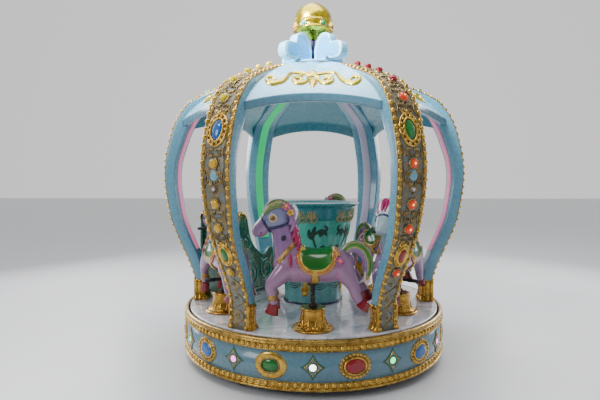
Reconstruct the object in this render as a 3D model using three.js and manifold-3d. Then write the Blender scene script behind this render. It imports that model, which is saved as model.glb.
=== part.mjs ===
// A crown-shaped fairground carousel for small children: a round fixed base, a turning deck that
// carries six crown ribs with a panelled roof, a centre barrel, five horses and one chariot.
// Units are millimetres, +Z is up, the origin is on the floor on the turning axis, and the side
// that the photograph shows faces -Y.

import * as THREE from 'three';
import { mergeVertices } from 'three/addons/utils/BufferGeometryUtils.js';
import Module from 'manifold-3d';

const wasm = await Module();
wasm.setup();

// Driving dimensions
const seatGap = 0.3;              // between pieces that sit on each other
const footHeight = 45;            // the levelling feet under the base
const footRadius = 42;
const footCircle = 800;
const trayRadius = 885;
const trayTop = 60;
const bearingRadius = 220;
const baseRadius = 900;
const skirtTop = 267;
const skirtWall = 8;
const skirtBottom = 50;
const flangeRadius = 845;         // the skirt's inner flange, which sits on the tray
const flangeThickness = 12;
const ovalHalfWidth = 90;         // the oval bosses on the skirt
const ovalHalfHeight = 68;
const ornamentZ = 179;            // middle height of the skirt's ornaments
const rimTop = 330;
const deckTop = 334;
const deckThickness = 24;
const deckRadius = 875;
const deckBossRadius = 200;       // what the deck rests on the bearing with
const rimInnerRadius = 882.5;
const bearingTop = 290;
const bearingGap = 0.5;
const bayCount = 6;
const bayAngle = (2 * Math.PI) / bayCount;
const placeRadius = 680;          // horses and chariot stand on this circle
const roundSides = 48;            // sides of the big rings
const crownTop = 2010;            // where the ribs meet the crown's hub
const hubRadius = 150;
const ballRadius = 138;
const ballCentreZ = 2320;
const horseBellyZ = 600;
const pedestalTop = 462;

// Colours and finishes
const finishes = {
  lightBlue: { color: 0x8fc3d4, roughness: 0.35, metalness: 0 },
  teal: { color: 0x4fa9a0, roughness: 0.35, metalness: 0 },
  gold: { color: 0xc79a2e, roughness: 0.35, metalness: 0.8 },
  deckWhite: { color: 0xc9cbd0, roughness: 0.3, metalness: 0 },
  steel: { color: 0x2b2d30, roughness: 0.5, metalness: 0.7 },
  black: { color: 0x111214, roughness: 0.4, metalness: 0.4 },
  lilac: { color: 0xc9a3cf, roughness: 0.3, metalness: 0 },
  darkGreen: { color: 0x0f5a41, roughness: 0.35, metalness: 0 },
  darkBlue: { color: 0x14224e, roughness: 0.35, metalness: 0 },
  ledGreen: { color: 0x00f090, roughness: 0.3, metalness: 0 },
  ledPink: { color: 0xf3a6c8, roughness: 0.3, metalness: 0 },
  ledPlain: { color: 0xd9d3e4, roughness: 0.3, metalness: 0 },
};

const carousel = new THREE.Group();

// Shape helpers

// Joins equal corners, drops triangles without area and turns the faces outwards.
function closed(geometry) {
  const bare = new THREE.BufferGeometry();
  bare.setAttribute('position', geometry.getAttribute('position').clone());
  if (geometry.index) bare.setIndex(geometry.index.clone());
  const merged = mergeVertices(bare, 1e-3);
  const corner = merged.getAttribute('position');
  const index = Array.from(merged.index.array);
  const a = new THREE.Vector3();
  const b = new THREE.Vector3();
  const c = new THREE.Vector3();
  const kept = [];
  let sixVolumes = 0;
  for (let i = 0; i < index.length; i += 3) {
    const [p, q, r] = [index[i], index[i + 1], index[i + 2]];
    if (p === q || q === r || r === p) continue;
    a.fromBufferAttribute(corner, p);
    b.fromBufferAttribute(corner, q);
    c.fromBufferAttribute(corner, r);
    sixVolumes += a.dot(b.cross(c));
    kept.push(p, q, r);
  }
  if (sixVolumes < 0) kept.reverse();
  merged.setIndex(kept);
  return merged;
}

function toSolid(geometry) {
  const ready = closed(geometry);
  return new wasm.Manifold(new wasm.Mesh({
    numProp: 3,
    vertProperties: new Float32Array(ready.getAttribute('position').array),
    triVerts: new Uint32Array(ready.index.array),
  }));
}

function toGeometry(solid) {
  const mesh = solid.getMesh();
  const geometry = new THREE.BufferGeometry();
  geometry.setAttribute('position', new THREE.BufferAttribute(mesh.vertProperties.slice(), 3));
  geometry.setIndex(new THREE.BufferAttribute(mesh.triVerts.slice(), 1));
  geometry.computeVertexNormals();
  return geometry;
}

function union(geometries) {
  return toGeometry(geometries.map(toSolid).reduce((whole, piece) => whole.add(piece)));
}

function addPiece(parent, name, geometry, finish) {
  const material = new THREE.MeshStandardMaterial(finishes[finish]);
  const mesh = new THREE.Mesh(closed(geometry), material);
  mesh.geometry.computeVertexNormals();
  mesh.name = name;
  parent.add(mesh);
  return mesh;
}

// A solid of revolution about +Z from [radius, height] pairs.
function turned(profile, sides) {
  const points = profile.map(([radius, height]) => new THREE.Vector2(radius, height));
  return new THREE.LatheGeometry(points, sides).rotateX(Math.PI / 2);
}

function ringProfile(profile) {
  return [...profile, profile[0]];
}

// A closed skin over equal rings of points, with both ends capped.
function loft(rings, capOutline) {
  const count = rings[0].length;
  const positions = rings.flat().flatMap((point) => [point.x, point.y, point.z]);
  const index = [];
  for (let i = 0; i + 1 < rings.length; i += 1) {
    for (let j = 0; j < count; j += 1) {
      const next = (j + 1) % count;
      const [low, high] = [i * count, (i + 1) * count];
      index.push(low + j, low + next, high + next, low + j, high + next, high + j);
    }
  }
  const last = (rings.length - 1) * count;
  const clockwise = THREE.ShapeUtils.isClockWise(capOutline);
  for (const [p, q, r] of THREE.ShapeUtils.triangulateShape(capOutline, [])) {
    if (clockwise) index.push(p, q, r, last + p, last + r, last + q);
    else index.push(p, r, q, last + p, last + q, last + r);
  }
  const geometry = new THREE.BufferGeometry();
  geometry.setAttribute('position', new THREE.Float32BufferAttribute(positions, 3));
  geometry.setIndex(index);
  return geometry;
}

// A rounded limb along a path in the X-Z plane. Each station is [x, y, z, half width, half depth].
function limb(stations, sides) {
  const centres = stations.map(([x, y, z]) => new THREE.Vector3(x, y, z));
  const across = new THREE.Vector3(0, 1, 0);
  const outline = [];
  for (let j = 0; j < sides; j += 1) {
    const angle = (2 * Math.PI * (j + 0.5)) / sides;
    outline.push(new THREE.Vector2(Math.cos(angle), Math.sin(angle)));
  }
  const rings = stations.map((station, i) => {
    const before = centres[Math.max(i - 1, 0)];
    const after = centres[Math.min(i + 1, centres.length - 1)];
    const depthAxis = new THREE.Vector3().subVectors(after, before).normalize().cross(across);
    const [halfWidth, halfDepth] = station.slice(3);
    return outline.map((corner) => centres[i].clone()
      .addScaledVector(across, corner.x * halfWidth)
      .addScaledVector(depthAxis.clone().normalize(), corner.y * halfDepth));
  });
  return loft(rings, outline);
}

function upright(radius, lowZ, highZ, sides) {
  return turned([[0, lowZ], [radius, lowZ], [radius, highZ], [0, highZ]], sides);
}

// The fixed base

const base = new THREE.Group();
carousel.add(base);

function makeChassis() {
  const tray = turned([
    [0, footHeight], [trayRadius, footHeight], [trayRadius, trayTop], [bearingRadius, trayTop],
    [bearingRadius, bearingTop], [0, bearingTop],
  ], 24);
  const stemRadius = 20;
  const stemTop = footHeight + 5;
  const feet = [];
  for (let i = 0; i < bayCount; i += 1) {
    const foot = turned([
      [0, 0], [footRadius, 0], [footRadius, 12], [stemRadius, 16], [stemRadius, stemTop], [0, stemTop],
    ], 8);
    feet.push(foot.translate(footCircle, 0, 0).rotateZ(i * bayAngle));
  }
  return union([tray, ...feet]);
}
addPiece(base, 'base_chassis', makeChassis(), 'steel');

// The oval bosses on the skirt stand halfway between its painted stars.
function makeSkirt() {
  const innerRadius = baseRadius - skirtWall;
  const flangeZ = trayTop + seatGap;
  const flangeTop = flangeZ + flangeThickness;
  const shell = turned(ringProfile([
    [baseRadius, skirtBottom], [baseRadius, skirtTop], [innerRadius, skirtTop],
    [innerRadius, flangeTop], [flangeRadius, flangeTop], [flangeRadius, flangeZ],
    [innerRadius, flangeZ], [innerRadius, skirtBottom],
  ]), roundSides);
  const reliefs = [];
  for (let i = 0; i < 2 * bayCount; i += 1) {
    const boss = new THREE.CylinderGeometry(0.9, 1, 12, 8).rotateZ(-Math.PI / 2);
    boss.scale(1, ovalHalfWidth, ovalHalfHeight).translate(baseRadius + 1, 0, ornamentZ);
    reliefs.push(boss.rotateZ((i + 0.5) * (Math.PI / bayCount)));
  }
  return union([shell, ...reliefs]);
}
addPiece(base, 'base_skirt', makeSkirt(), 'lightBlue');

addPiece(base, 'base_lower_trim', turned(ringProfile([
  [baseRadius + seatGap, footHeight], [911, footHeight], [913, 78], [907, 84],
  [908, 100], [baseRadius + seatGap, 100],
]), roundSides), 'gold');

addPiece(base, 'base_upper_trim', turned(ringProfile([
  [rimInnerRadius, skirtTop + seatGap], [904, skirtTop + seatGap], [904, 288],
  [908, 296], [906, 318], [896, rimTop], [rimInnerRadius, rimTop - 4],
]), roundSides), 'gold');

// The turning deck and what stands on it

const turntable = new THREE.Group();
carousel.add(turntable);

addPiece(turntable, 'deck', turned([
  [0, bearingTop + bearingGap], [deckBossRadius, bearingTop + bearingGap],
  [deckBossRadius, deckTop - deckThickness],
  [deckRadius, deckTop - deckThickness], [deckRadius, deckTop], [0, deckTop],
], roundSides), 'deckWhite');

// Crown ribs. Each station is [radius, height, face width, depth] on the rib's outer face.
const ribStations = [
  [868, deckTop - 40, 138, 85],
  [867, 494, 138, 84],
  [914, 635, 144, 84],
  [980, 785, 158, 84],
  [1027, 915, 178, 83],
  [1045, 1015, 190, 82],
  [1063, 1145, 201, 82],
  [1067, 1245, 205, 84],
  [1058, 1365, 206, 90],
  [1030, 1485, 206, 100],
  [982, 1625, 204, 108],
  [886, 1755, 194, 106],
  [760, 1825, 180, 100],
  [653, 1868, 168, 96],
  [545, 1907, 154, 92],
  [350, 1965, 126, 86],
  [120, crownTop + 5, 92, 80],
];
const ribPlaces = new THREE.CatmullRomCurve3(ribStations.map(([r, z]) => new THREE.Vector3(r, 0, z)));
const ribSizes = new THREE.CatmullRomCurve3(ribStations.map(([, , w, d]) => new THREE.Vector3(w, d, 0)));
const ribSteps = 24;
const innerFaceShare = 0.9;
const railWidth = 16;
const railHeight = 7;
const ledHalfWidth = 33;
const ledThickness = 8;
const [ledFrom, ledTo] = [4, 21]; // the light strip's first and last step along the rib

// The rib's outer face at t: its point, its outward direction, its width and its depth.
function ribStationAt(t) {
  const along = ribPlaces.getTangent(t);
  const size = ribSizes.getPoint(t);
  return {
    point: ribPlaces.getPoint(t),
    outward: new THREE.Vector3(along.z, 0, -along.x),
    width: size.x,
    depth: size.y,
  };
}

// Rings of a section along the rib, from corners [share of width, offset across, height over face].
function ribRings(section, fromStep, toStep) {
  const rings = [];
  for (let i = fromStep; i <= toStep; i += 1) {
    const { point, outward, width, depth } = ribStationAt(i / ribSteps);
    rings.push(section(width, depth).map(([across, height]) => new THREE.Vector3(
      point.x + outward.x * height, across, point.z + outward.z * height,
    )));
  }
  return rings;
}

function capOf(section) {
  return section(ribStations[0][2], ribStations[0][3]).map(([x, y]) => new THREE.Vector2(x, y));
}

const ribSection = (width, depth) => {
  const outer = width / 2;
  const inner = outer * innerFaceShare;
  return [
    [-inner, -depth], [inner, -depth], [outer, 0], [outer - railWidth, 0],
    [outer - railWidth - 4, -railHeight], [-outer + railWidth + 4, -railHeight],
    [-outer + railWidth, 0], [-outer, 0],
  ];
};
const ribClearance = (width, depth) => {
  const outer = width / 2 + seatGap;
  const inner = (width / 2) * innerFaceShare + seatGap;
  return [[-inner, -depth - seatGap], [inner, -depth - seatGap], [outer, 0], [outer, 60], [-outer, 60], [-outer, 0]];
};
const ledSection = (_width, depth) => {
  const near = -depth - seatGap;
  const far = near - ledThickness;
  return [[-ledHalfWidth, near], [-ledHalfWidth, far], [ledHalfWidth, far], [ledHalfWidth, near]];
};

// Gold oval frames that stand on the rib's face, each at t along it, with its half sizes.
const ribOvals = [
  { t: 0.19, across: 44, along: 66 },
  { t: 0.555, across: 58, along: 88 },
];

function makeRib() {
  const shell = loft(ribRings(ribSection, 0, ribSteps), capOf(ribSection));
  const ovals = ribOvals.map(({ t, across, along }) => {
    const { point, outward } = ribStationAt(t);
    const oval = turned([[0, -14], [1, -14], [1, 2], [0.7, 8], [0, 8]], 10);
    const tilt = Math.atan2(outward.x, outward.z);
    oval.scale(along, across, 1).rotateY(tilt);
    return oval.translate(point.x, point.y, point.z);
  });
  return union([shell, ...ovals, makeRibBoot()]);
}

// The boot at the rib's foot stands proud of the rib's sides and inner face and flares at the floor.
function makeRibBoot() {
  const outerX = ribStations[0][0] - 8;
  const innerX = ribStations[0][0] - ribStations[0][3];
  const rings = [[28, 0], [18, 30], [13, 60], [13, 128], [8, 150]].map(([proud, height]) => {
    const halfWidth = (ribStations[0][2] / 2) * innerFaceShare + proud;
    return [[outerX, -halfWidth], [outerX, halfWidth], [innerX, halfWidth], [innerX - proud, halfWidth - 30],
      [innerX - proud, 30 - halfWidth], [innerX, -halfWidth]]
      .map(([x, y]) => new THREE.Vector3(x, y, deckTop + height));
  });
  return loft(rings, rings[0].map((corner) => new THREE.Vector2(corner.x, corner.y)));
}

const hubBore = toSolid(upright(hubRadius + 0.4, 1700, 2200, 48));
const belowDeckTop = toSolid(new THREE.BoxGeometry(2400, 2400, 200).translate(0, 0, deckTop + seatGap - 100));
const ribGeometry = toGeometry(toSolid(makeRib()).subtract(hubBore).subtract(belowDeckTop));
const ribHull = toSolid(loft(ribRings(ribClearance, 0, ribSteps), capOf(ribClearance)));
const ledGeometry = loft(ribRings(ledSection, ledFrom, ledTo), capOf(ledSection));
const ledFinishes = ['ledPink', 'ledPlain', 'ledGreen', 'ledPink', 'ledPlain', 'ledPlain'];

for (let i = 0; i < bayCount; i += 1) {
  const rib = addPiece(turntable, `rib_${i + 1}`, ribGeometry.clone(), 'lightBlue');
  rib.rotation.z = i * bayAngle;
  const led = addPiece(turntable, `led_strip_${i + 1}`, ledGeometry.clone(), ledFinishes[i]);
  led.rotation.z = i * bayAngle;
}

// Roof panels: height follows the distance from the axis, and the eave curves in at mid bay.
const panelCurve = new THREE.SplineCurve([
  [100, 2003], [250, 1972], [400, 1915], [600, 1802], [700, 1735], [780, 1680], [850, 1622], [900, 1572],
].map(([f, z]) => new THREE.Vector2(f, z)));
const panelThickness = 14;
const eaveDepth = 45;
const eaveWidth = 34;
const eaveMid = 780;
const eaveCurl = 0.0005;          // how fast the eave moves out with the distance from mid bay

function panelHeight(forward) {
  let [low, high] = [0, 1];
  for (let i = 0; i < 30; i += 1) {
    const middle = (low + high) / 2;
    if (panelCurve.getPoint(middle).x < forward) low = middle; else high = middle;
  }
  return panelCurve.getPoint(low).y;
}

// The eave's distance from the axis along the bay's direction, at an angle off mid bay.
function eaveAt(angle) {
  let forward = eaveMid;
  for (let i = 0; i < 20; i += 1) forward = eaveMid + eaveCurl * (forward * Math.tan(angle)) ** 2;
  return forward;
}

function makePanel() {
  const rings = [];
  const spans = 6;
  for (let i = 0; i <= spans; i += 1) {
    const angle = THREE.MathUtils.degToRad(-26 + (52 * i) / spans);
    const eave = eaveAt(angle);
    const stops = [120, 300, 470, 620, 720].map((f) => f * (eave / eaveMid));
    const outline = [
      ...stops.map((f) => [f, panelHeight(f)]),
      [eave, panelHeight(eave)],
      [eave, panelHeight(eave) - eaveDepth],
      [eave - eaveWidth, panelHeight(eave) - eaveDepth],
      [eave - eaveWidth, panelHeight(eave - eaveWidth) - panelThickness],
      ...stops.slice(0, 4).reverse().map((f) => [f, panelHeight(f) - panelThickness]),
    ];
    rings.push(outline.map(([f, z]) => new THREE.Vector3(f, f * Math.tan(angle), z)));
  }
  return loft(rings, rings[0].map((point) => new THREE.Vector2(point.x, point.z)));
}

const panelRaw = toSolid(makePanel()).subtract(hubBore);
const panelGeometry = toGeometry([-1, 1].reduce(
  (solid, side) => solid.subtract(ribHull.rotate([0, 0, side * 30])),
  panelRaw,
));
for (let i = 0; i < bayCount; i += 1) {
  const panel = addPiece(turntable, `roof_panel_${i + 1}`, panelGeometry.clone(), 'lightBlue');
  panel.rotation.z = (i + 0.5) * bayAngle;
}

// The crown's hub, where the ribs and panels meet, and the finial on it
const hubTop = crownTop + 18;
addPiece(turntable, 'crown_hub', turned([
  [0, 1915], [hubRadius - 20, 1915], [hubRadius, 1930], [hubRadius, crownTop + 6], [165, crownTop + 7],
  [160, hubTop], [0, hubTop],
], 48), 'lightBlue');

const postRadius = 17;
const coneTip = 2196;
addPiece(turntable, 'finial_post', upright(postRadius, hubTop + seatGap, coneTip, 16), 'darkBlue');

// Four upright three-lobed brackets around the post, on one collar.
function makeBrackets() {
  const plateInner = 46;
  const lobe = new THREE.Shape();
  lobe.moveTo(plateInner, hubTop + seatGap);
  lobe.lineTo(140, hubTop + seatGap);
  lobe.quadraticCurveTo(156, 2034, 168, 2054);
  lobe.quadraticCurveTo(194, 2026, 240, 2026);
  lobe.quadraticCurveTo(306, 2030, 306, 2084);
  lobe.quadraticCurveTo(306, 2140, 248, 2144);
  lobe.quadraticCurveTo(216, 2146, 202, 2136);
  lobe.quadraticCurveTo(198, 2220, 136, 2222);
  lobe.quadraticCurveTo(76, 2222, plateInner, 2124);
  lobe.closePath();
  const thickness = 74;
  const edgeBevel = 7;
  const plates = [45, 135, 225, 315].map((degrees) => {
    const plate = new THREE.ExtrudeGeometry(lobe, {
      depth: thickness - 2 * edgeBevel, curveSegments: 2,
      bevelSize: edgeBevel, bevelThickness: edgeBevel, bevelSegments: 1, bevelOffset: -edgeBevel,
    });
    plate.rotateX(Math.PI / 2).translate(0, thickness / 2 - edgeBevel, 0);
    return plate.rotateZ(THREE.MathUtils.degToRad(degrees));
  });
  const collar = upright(62, hubTop + seatGap, hubTop + 12, 16);
  const bore = toSolid(upright(postRadius + 1.5, 2000, 2300, 16));
  return toGeometry([collar, ...plates].map(toSolid).reduce((whole, piece) => whole.add(piece)).subtract(bore));
}
addPiece(turntable, 'finial_brackets', makeBrackets(), 'lightBlue');

function makeBall() {
  const bandLow = ballCentreZ - 62;
  const bandHigh = ballCentreZ - 7;
  const profile = [
    [0, coneTip + seatGap], [14, coneTip + seatGap], [44, 2224], [104, 2224], [120, 2240],
    [128, bandLow - 4], [141, bandLow], [142, bandLow + 10], [136, bandLow + 14],
    [136, bandHigh - 14], [143, bandHigh - 10], [143, bandHigh],
  ];
  const start = Math.asin((bandHigh - ballCentreZ) / ballRadius);
  const steps = 5;
  for (let i = 0; i <= steps; i += 1) {
    const angle = start + ((Math.PI / 2 - start) * i) / steps;
    profile.push([i === steps ? 0 : ballRadius * Math.cos(angle), ballCentreZ + ballRadius * Math.sin(angle)]);
  }
  return turned(profile, 16);
}
addPiece(turntable, 'finial_ball', makeBall(), 'gold');

// The centre barrel
const barrelSeam = 926;
addPiece(turntable, 'barrel_drum', turned([
  [0, deckTop + seatGap], [205, deckTop + seatGap], [210, 500], [218, 620], [236, 730], [264, 830],
  [280, barrelSeam], [0, barrelSeam],
], 32), 'teal');
addPiece(turntable, 'barrel_rim', turned([
  [0, barrelSeam + seatGap], [283, barrelSeam + seatGap], [290, 936], [300, 1008], [298, 1012],
  [335, 1030], [336, 1036], [328, 1040], [288, 1024], [0, 1022],
], 32), 'lightBlue');

// Horses. One horse is built facing +X with its pole on the Z axis, then placed on the circle.

function makePedestal() {
  return turned([
    [0, deckTop + seatGap], [121, deckTop + seatGap], [121, 345], [96, 358], [74, 380], [67, 420],
    [67, 448], [72, 456], [70, pedestalTop], [0, pedestalTop],
  ], 12);
}

function makePole() {
  const rod = turned([
    [0, pedestalTop + seatGap], [25, pedestalTop + seatGap], [25, 482], [14, 486], [14, 586],
    [32, 588], [32, horseBellyZ - seatGap], [0, horseBellyZ - seatGap],
  ], 8);
  const footBar = new THREE.CylinderGeometry(10, 10, 260, 6);
  return union([rod, footBar.translate(0, 0, 545)]);
}

// The mid-line heights and sizes come from the horse that stands at the front.
function makeHorse() {
  const trunk = limb([
    [-222, 0, 736, 46, 40], [-184, 0, 718, 98, 88], [-60, 0, 701, 106, 97],
    [110, 0, 701, 104, 98], [172, 0, 716, 84, 94], [206, 0, 724, 44, 56],
  ], 10);
  const neck = limb([
    [128, 0, 735, 80, 92], [163, 0, 850, 56, 72], [190, 0, 985, 50, 60],
  ], 8);
  const head = limb([
    [146, 0, 1022, 40, 42], [194, 0, 1000, 66, 70], [244, 0, 968, 66, 66], [290, 0, 928, 50, 48],
    [320, 0, 904, 38, 36], [334, 0, 894, 22, 20],
  ], 8);
  const mane = limb([
    [284, 0, 1014, 14, 18], [258, 0, 1050, 26, 28], [196, 0, 1066, 30, 30], [128, 0, 1024, 30, 36],
    [106, 0, 900, 26, 36], [74, 0, 800, 18, 24],
  ], 6);
  const saddle = limb([
    [-140, 0, 736, 74, 80], [-112, 0, 716, 112, 92], [66, 0, 712, 114, 94], [96, 0, 738, 78, 92],
  ], 10);
  const tail = limb([
    [-180, 0, 778, 22, 26], [-222, 0, 822, 26, 26], [-282, 0, 810, 27, 28], [-324, 0, 748, 27, 28],
    [-332, 0, 676, 24, 26], [-316, 0, 612, 8, 12],
  ], 6);
  // The outer front leg reaches further forward, and the inner hind leg is lifted higher.
  const legs = [
    [[168, 58, 690, 46, 56], [250, 60, 590, 32, 36], [250, 60, 520, 26, 28], [262, 60, 436, 32, 36]],
    [[160, -58, 690, 46, 56], [236, -60, 600, 32, 36], [232, -60, 540, 26, 28], [222, -60, 458, 32, 36]],
    [[-176, 58, 700, 46, 66], [-226, 60, 600, 34, 40], [-252, 60, 530, 26, 30], [-278, 60, 442, 32, 38]],
    [[-176, -58, 700, 46, 66], [-240, -60, 636, 34, 40], [-280, -60, 590, 26, 30], [-316, -60, 516, 32, 38]],
  ].map((stations) => limb(stations, 6));
  const ears = [-1, 1].map((side) => new THREE.ConeGeometry(20, 62, 5)
    .rotateX(Math.PI / 2).translate(168, side * 40, 1074));
  const grip = new THREE.CylinderGeometry(10, 10, 250, 6).translate(166, 0, 868);
  const boss = upright(34, horseBellyZ, 640, 8);
  return union([trunk, neck, head, mane, saddle, tail, ...legs, ...ears, grip, boss]);
}

// The angle and the distance from the axis of each place, as the horses stand
const horsePlaces = [[270, 705], [330, 655], [30, 645], [90, placeRadius], [210, placeRadius]];
const chariotPlace = 150;
const pedestalGeometry = makePedestal();
const poleGeometry = makePole();
const horseGeometry = makeHorse();

// Something that faces +X, put at an angle on the circle so that it faces clockwise from above.
function placeOnCircle(group, degrees, radius) {
  const angle = THREE.MathUtils.degToRad(degrees);
  group.position.set(radius * Math.cos(angle), radius * Math.sin(angle), 0);
  group.rotation.z = angle - Math.PI / 2;
  turntable.add(group);
}

horsePlaces.forEach(([degrees, radius], i) => {
  const place = new THREE.Group();
  addPiece(place, `horse_${i + 1}_pedestal`, pedestalGeometry.clone(), 'gold');
  addPiece(place, `horse_${i + 1}_pole`, poleGeometry.clone(), 'black');
  addPiece(place, `horse_${i + 1}`, horseGeometry.clone(), 'lilac');
  placeOnCircle(place, degrees, radius);
});

// The chariot: two scrolled side panels, a high back and a dashboard on a floor, with a bench.
const chariotHalfWidth = 190;
const chariotFloorZ = deckTop + seatGap;

function makeChariotShell() {
  const side = new THREE.Shape();
  side.moveTo(-235, chariotFloorZ);
  side.lineTo(170, chariotFloorZ);
  side.quadraticCurveTo(214, 470, 192, 650);
  side.quadraticCurveTo(150, 690, 112, 632);
  side.quadraticCurveTo(60, 604, 0, 640);
  side.quadraticCurveTo(-96, 690, -134, 790);
  side.quadraticCurveTo(-160, 936, -225, 966);
  side.quadraticCurveTo(-275, 700, -235, chariotFloorZ);
  const thickness = 26;
  const sides = [-chariotHalfWidth + thickness, chariotHalfWidth].map((y) => new THREE.ExtrudeGeometry(
    side, { depth: thickness, curveSegments: 5, bevelEnabled: false },
  ).rotateX(Math.PI / 2).translate(0, y, 0));
  const span = 2 * chariotHalfWidth - 20;
  const floor = new THREE.BoxGeometry(400, span, 24).translate(-30, 0, chariotFloorZ + 12);
  const back = new THREE.BoxGeometry(26, span, 590).translate(-222, 0, chariotFloorZ + 300);
  const dash = new THREE.BoxGeometry(24, span, 270).translate(168, 0, chariotFloorZ + 136);
  return union([...sides, floor, back, dash]);
}

const chariot = new THREE.Group();
addPiece(chariot, 'chariot_shell', makeChariotShell(), 'darkGreen');
const benchWidth = 2 * (chariotHalfWidth - 26 - seatGap);
addPiece(chariot, 'chariot_bench', new THREE.BoxGeometry(190, benchWidth, 200)
  .translate(-209 + seatGap + 95, 0, chariotFloorZ + 24 + seatGap + 100), 'darkGreen');
placeOnCircle(chariot, chariotPlace, placeRadius);

export default carousel;
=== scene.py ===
import math

import bmesh
import bpy
import numpy as np
from mathutils.bvhtree import BVHTree
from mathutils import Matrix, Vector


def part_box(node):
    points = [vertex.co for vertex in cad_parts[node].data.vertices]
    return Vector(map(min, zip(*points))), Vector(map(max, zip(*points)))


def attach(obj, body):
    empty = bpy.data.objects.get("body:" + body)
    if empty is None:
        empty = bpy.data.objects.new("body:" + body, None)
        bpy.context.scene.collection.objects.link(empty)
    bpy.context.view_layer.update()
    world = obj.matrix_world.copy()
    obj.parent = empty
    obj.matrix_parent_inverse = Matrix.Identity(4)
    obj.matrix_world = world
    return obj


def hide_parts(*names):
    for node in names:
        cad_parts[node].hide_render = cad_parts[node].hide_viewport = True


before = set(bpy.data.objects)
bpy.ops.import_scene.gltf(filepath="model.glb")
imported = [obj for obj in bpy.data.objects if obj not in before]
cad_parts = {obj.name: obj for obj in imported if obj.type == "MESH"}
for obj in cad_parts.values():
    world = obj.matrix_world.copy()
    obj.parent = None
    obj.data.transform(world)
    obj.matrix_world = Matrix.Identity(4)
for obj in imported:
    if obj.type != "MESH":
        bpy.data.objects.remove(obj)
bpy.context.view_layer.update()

TURN = 2 * math.pi
BAYS = 6
BAY_DEGREES = 360 // BAYS
MM = 0.001

# Sizes that the frame gives
DECK_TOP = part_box("deck")[1].z
DECK_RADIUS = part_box("deck")[1].x
RING_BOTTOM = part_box("base_lower_trim")[0].z
HUB_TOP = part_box("crown_hub")[1].z
BALL_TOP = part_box("finial_ball")[1].z

SKIRT_RADIUS = 900 * MM
ORNAMENT_Z = 179 * MM
BALL_RADIUS = 138 * MM
BALL_CENTRE = BALL_TOP - BALL_RADIUS


# Lines and outlines


def through(points, per_span):
    """A smooth line through the points."""
    p = np.asarray(points, float)
    p = np.vstack([2 * p[0] - p[1], p, 2 * p[-1] - p[-2]])
    gaps = np.sqrt(np.maximum(np.linalg.norm(np.diff(p, axis=0), axis=1), 1e-12))
    w = np.linspace(0, 1, per_span, endpoint=False)[:, None]
    line = []
    for i in range(len(p) - 3):
        a, b, c, d = p[i:i + 4]
        before, here, after = gaps[i:i + 3]
        leaving = ((b - a) / before - (c - a) / (before + here) + (c - b) / here) * here
        arriving = ((c - b) / here - (d - b) / (here + after) + (d - c) / after) * here
        line.append(b * (2 * w**3 - 3 * w**2 + 1) + leaving * (w**3 - 2 * w**2 + w)
                    + c * (3 * w**2 - 2 * w**3) + arriving * (w**3 - w**2))
    return np.vstack(line + [p[-2][None]])


def lengths(line):
    """The distance along a line to each of its points."""
    steps = np.linalg.norm(np.diff(line, axis=0), axis=1)
    return np.concatenate([[0], np.cumsum(steps)])


def evenly(line, count):
    """The same line with its points at even distances."""
    line = np.asarray(line, float)
    far = lengths(line)
    at = np.linspace(0, far[-1], count)
    return np.column_stack([np.interp(at, far, column) for column in line.T])


def at(*points):
    """Points in millimetres."""
    return [tuple(c * MM for c in point) for point in points]


def eased(points, radius, steps, loop=False):
    """The same outline with each corner rounded off."""
    p = np.asarray(points, float)
    count = len(p)
    made = []
    for i in range(count):
        if not loop and i in (0, count - 1):
            made.append(p[i])
            continue
        back = p[i - 1] - p[i]
        on = p[(i + 1) % count] - p[i]
        cut = min(radius, 0.45 * np.linalg.norm(back), 0.45 * np.linalg.norm(on))
        start = p[i] + back / np.linalg.norm(back) * cut
        end = p[i] + on / np.linalg.norm(on) * cut
        for k in range(steps + 1):
            w = k / steps
            made.append((1 - w)**2 * start + 2 * w * (1 - w) * p[i] + w * w * end)
    return np.array(made)


def arc(centre, radius, start, sweep, shrink, count):
    """A round or winding stretch of line in a plane, with angles in degrees."""
    share = np.linspace(0, 1, count)
    angle = np.radians(start + sweep * share)
    reach = radius * (1 + (shrink - 1) * share)
    return np.column_stack([centre[0] + reach * np.cos(angle), centre[1] + reach * np.sin(angle)])


def angles(count):
    """Even angles round a full turn."""
    return np.arange(count) * TURN / count


def oval_line(half_across, half_along, count=40):
    """An oval whose sizes are given in millimetres."""
    angle = angles(count)
    return np.column_stack([half_across * MM * np.cos(angle), half_along * MM * np.sin(angle)])


def raised(line, lift):
    """A line with one more column, which holds its lift."""
    return np.column_stack([line, np.full(len(line), lift)])


def mirrored(line):
    """A flat line, turned over from left to right."""
    return np.asarray(line) * (-1, 1)


def swelling(count, width, start, end, fullest):
    """Half widths of a stroke that is thickest part of the way along."""
    s = np.linspace(0, 1, count)
    rise = np.interp(s, [0, fullest, 1], [0, 0.5, 1])
    low = np.where(s < fullest, start, end)
    return width * (low + (1 - low) * np.sin(np.pi * rise))


# Surfaces


def skin(rows, along=False, capped=True):
    """A surface over equal closed rows of points. along joins the last row to the first."""
    rows = np.asarray(rows, float)
    count, width = rows.shape[:2]
    index = np.arange(count * width).reshape(count, width)
    wide = np.hstack([index, index[:, :1]])
    wide = np.vstack([wide, wide[:1]]) if along else wide
    quads = np.stack([wide[:-1, :-1], wide[:-1, 1:], wide[1:, 1:], wide[1:, :-1]], -1).reshape(-1, 4)
    faces = [quads]
    if capped and not along:
        faces += [index[:1, ::-1], index[-1:]]
    return rows.reshape(-1, 3), faces


def turned(profile, sides, ring=False):
    """A solid of revolution from (radius, height) pairs."""
    p = np.asarray(profile, float)
    angle = angles(sides)
    rows = np.stack([np.outer(p[:, 0], np.cos(angle)), np.outer(p[:, 0], np.sin(angle)),
                     np.repeat(p[:, 1:2], sides, 1)], -1)
    return skin(rows, along=ring, capped=False)


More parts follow.
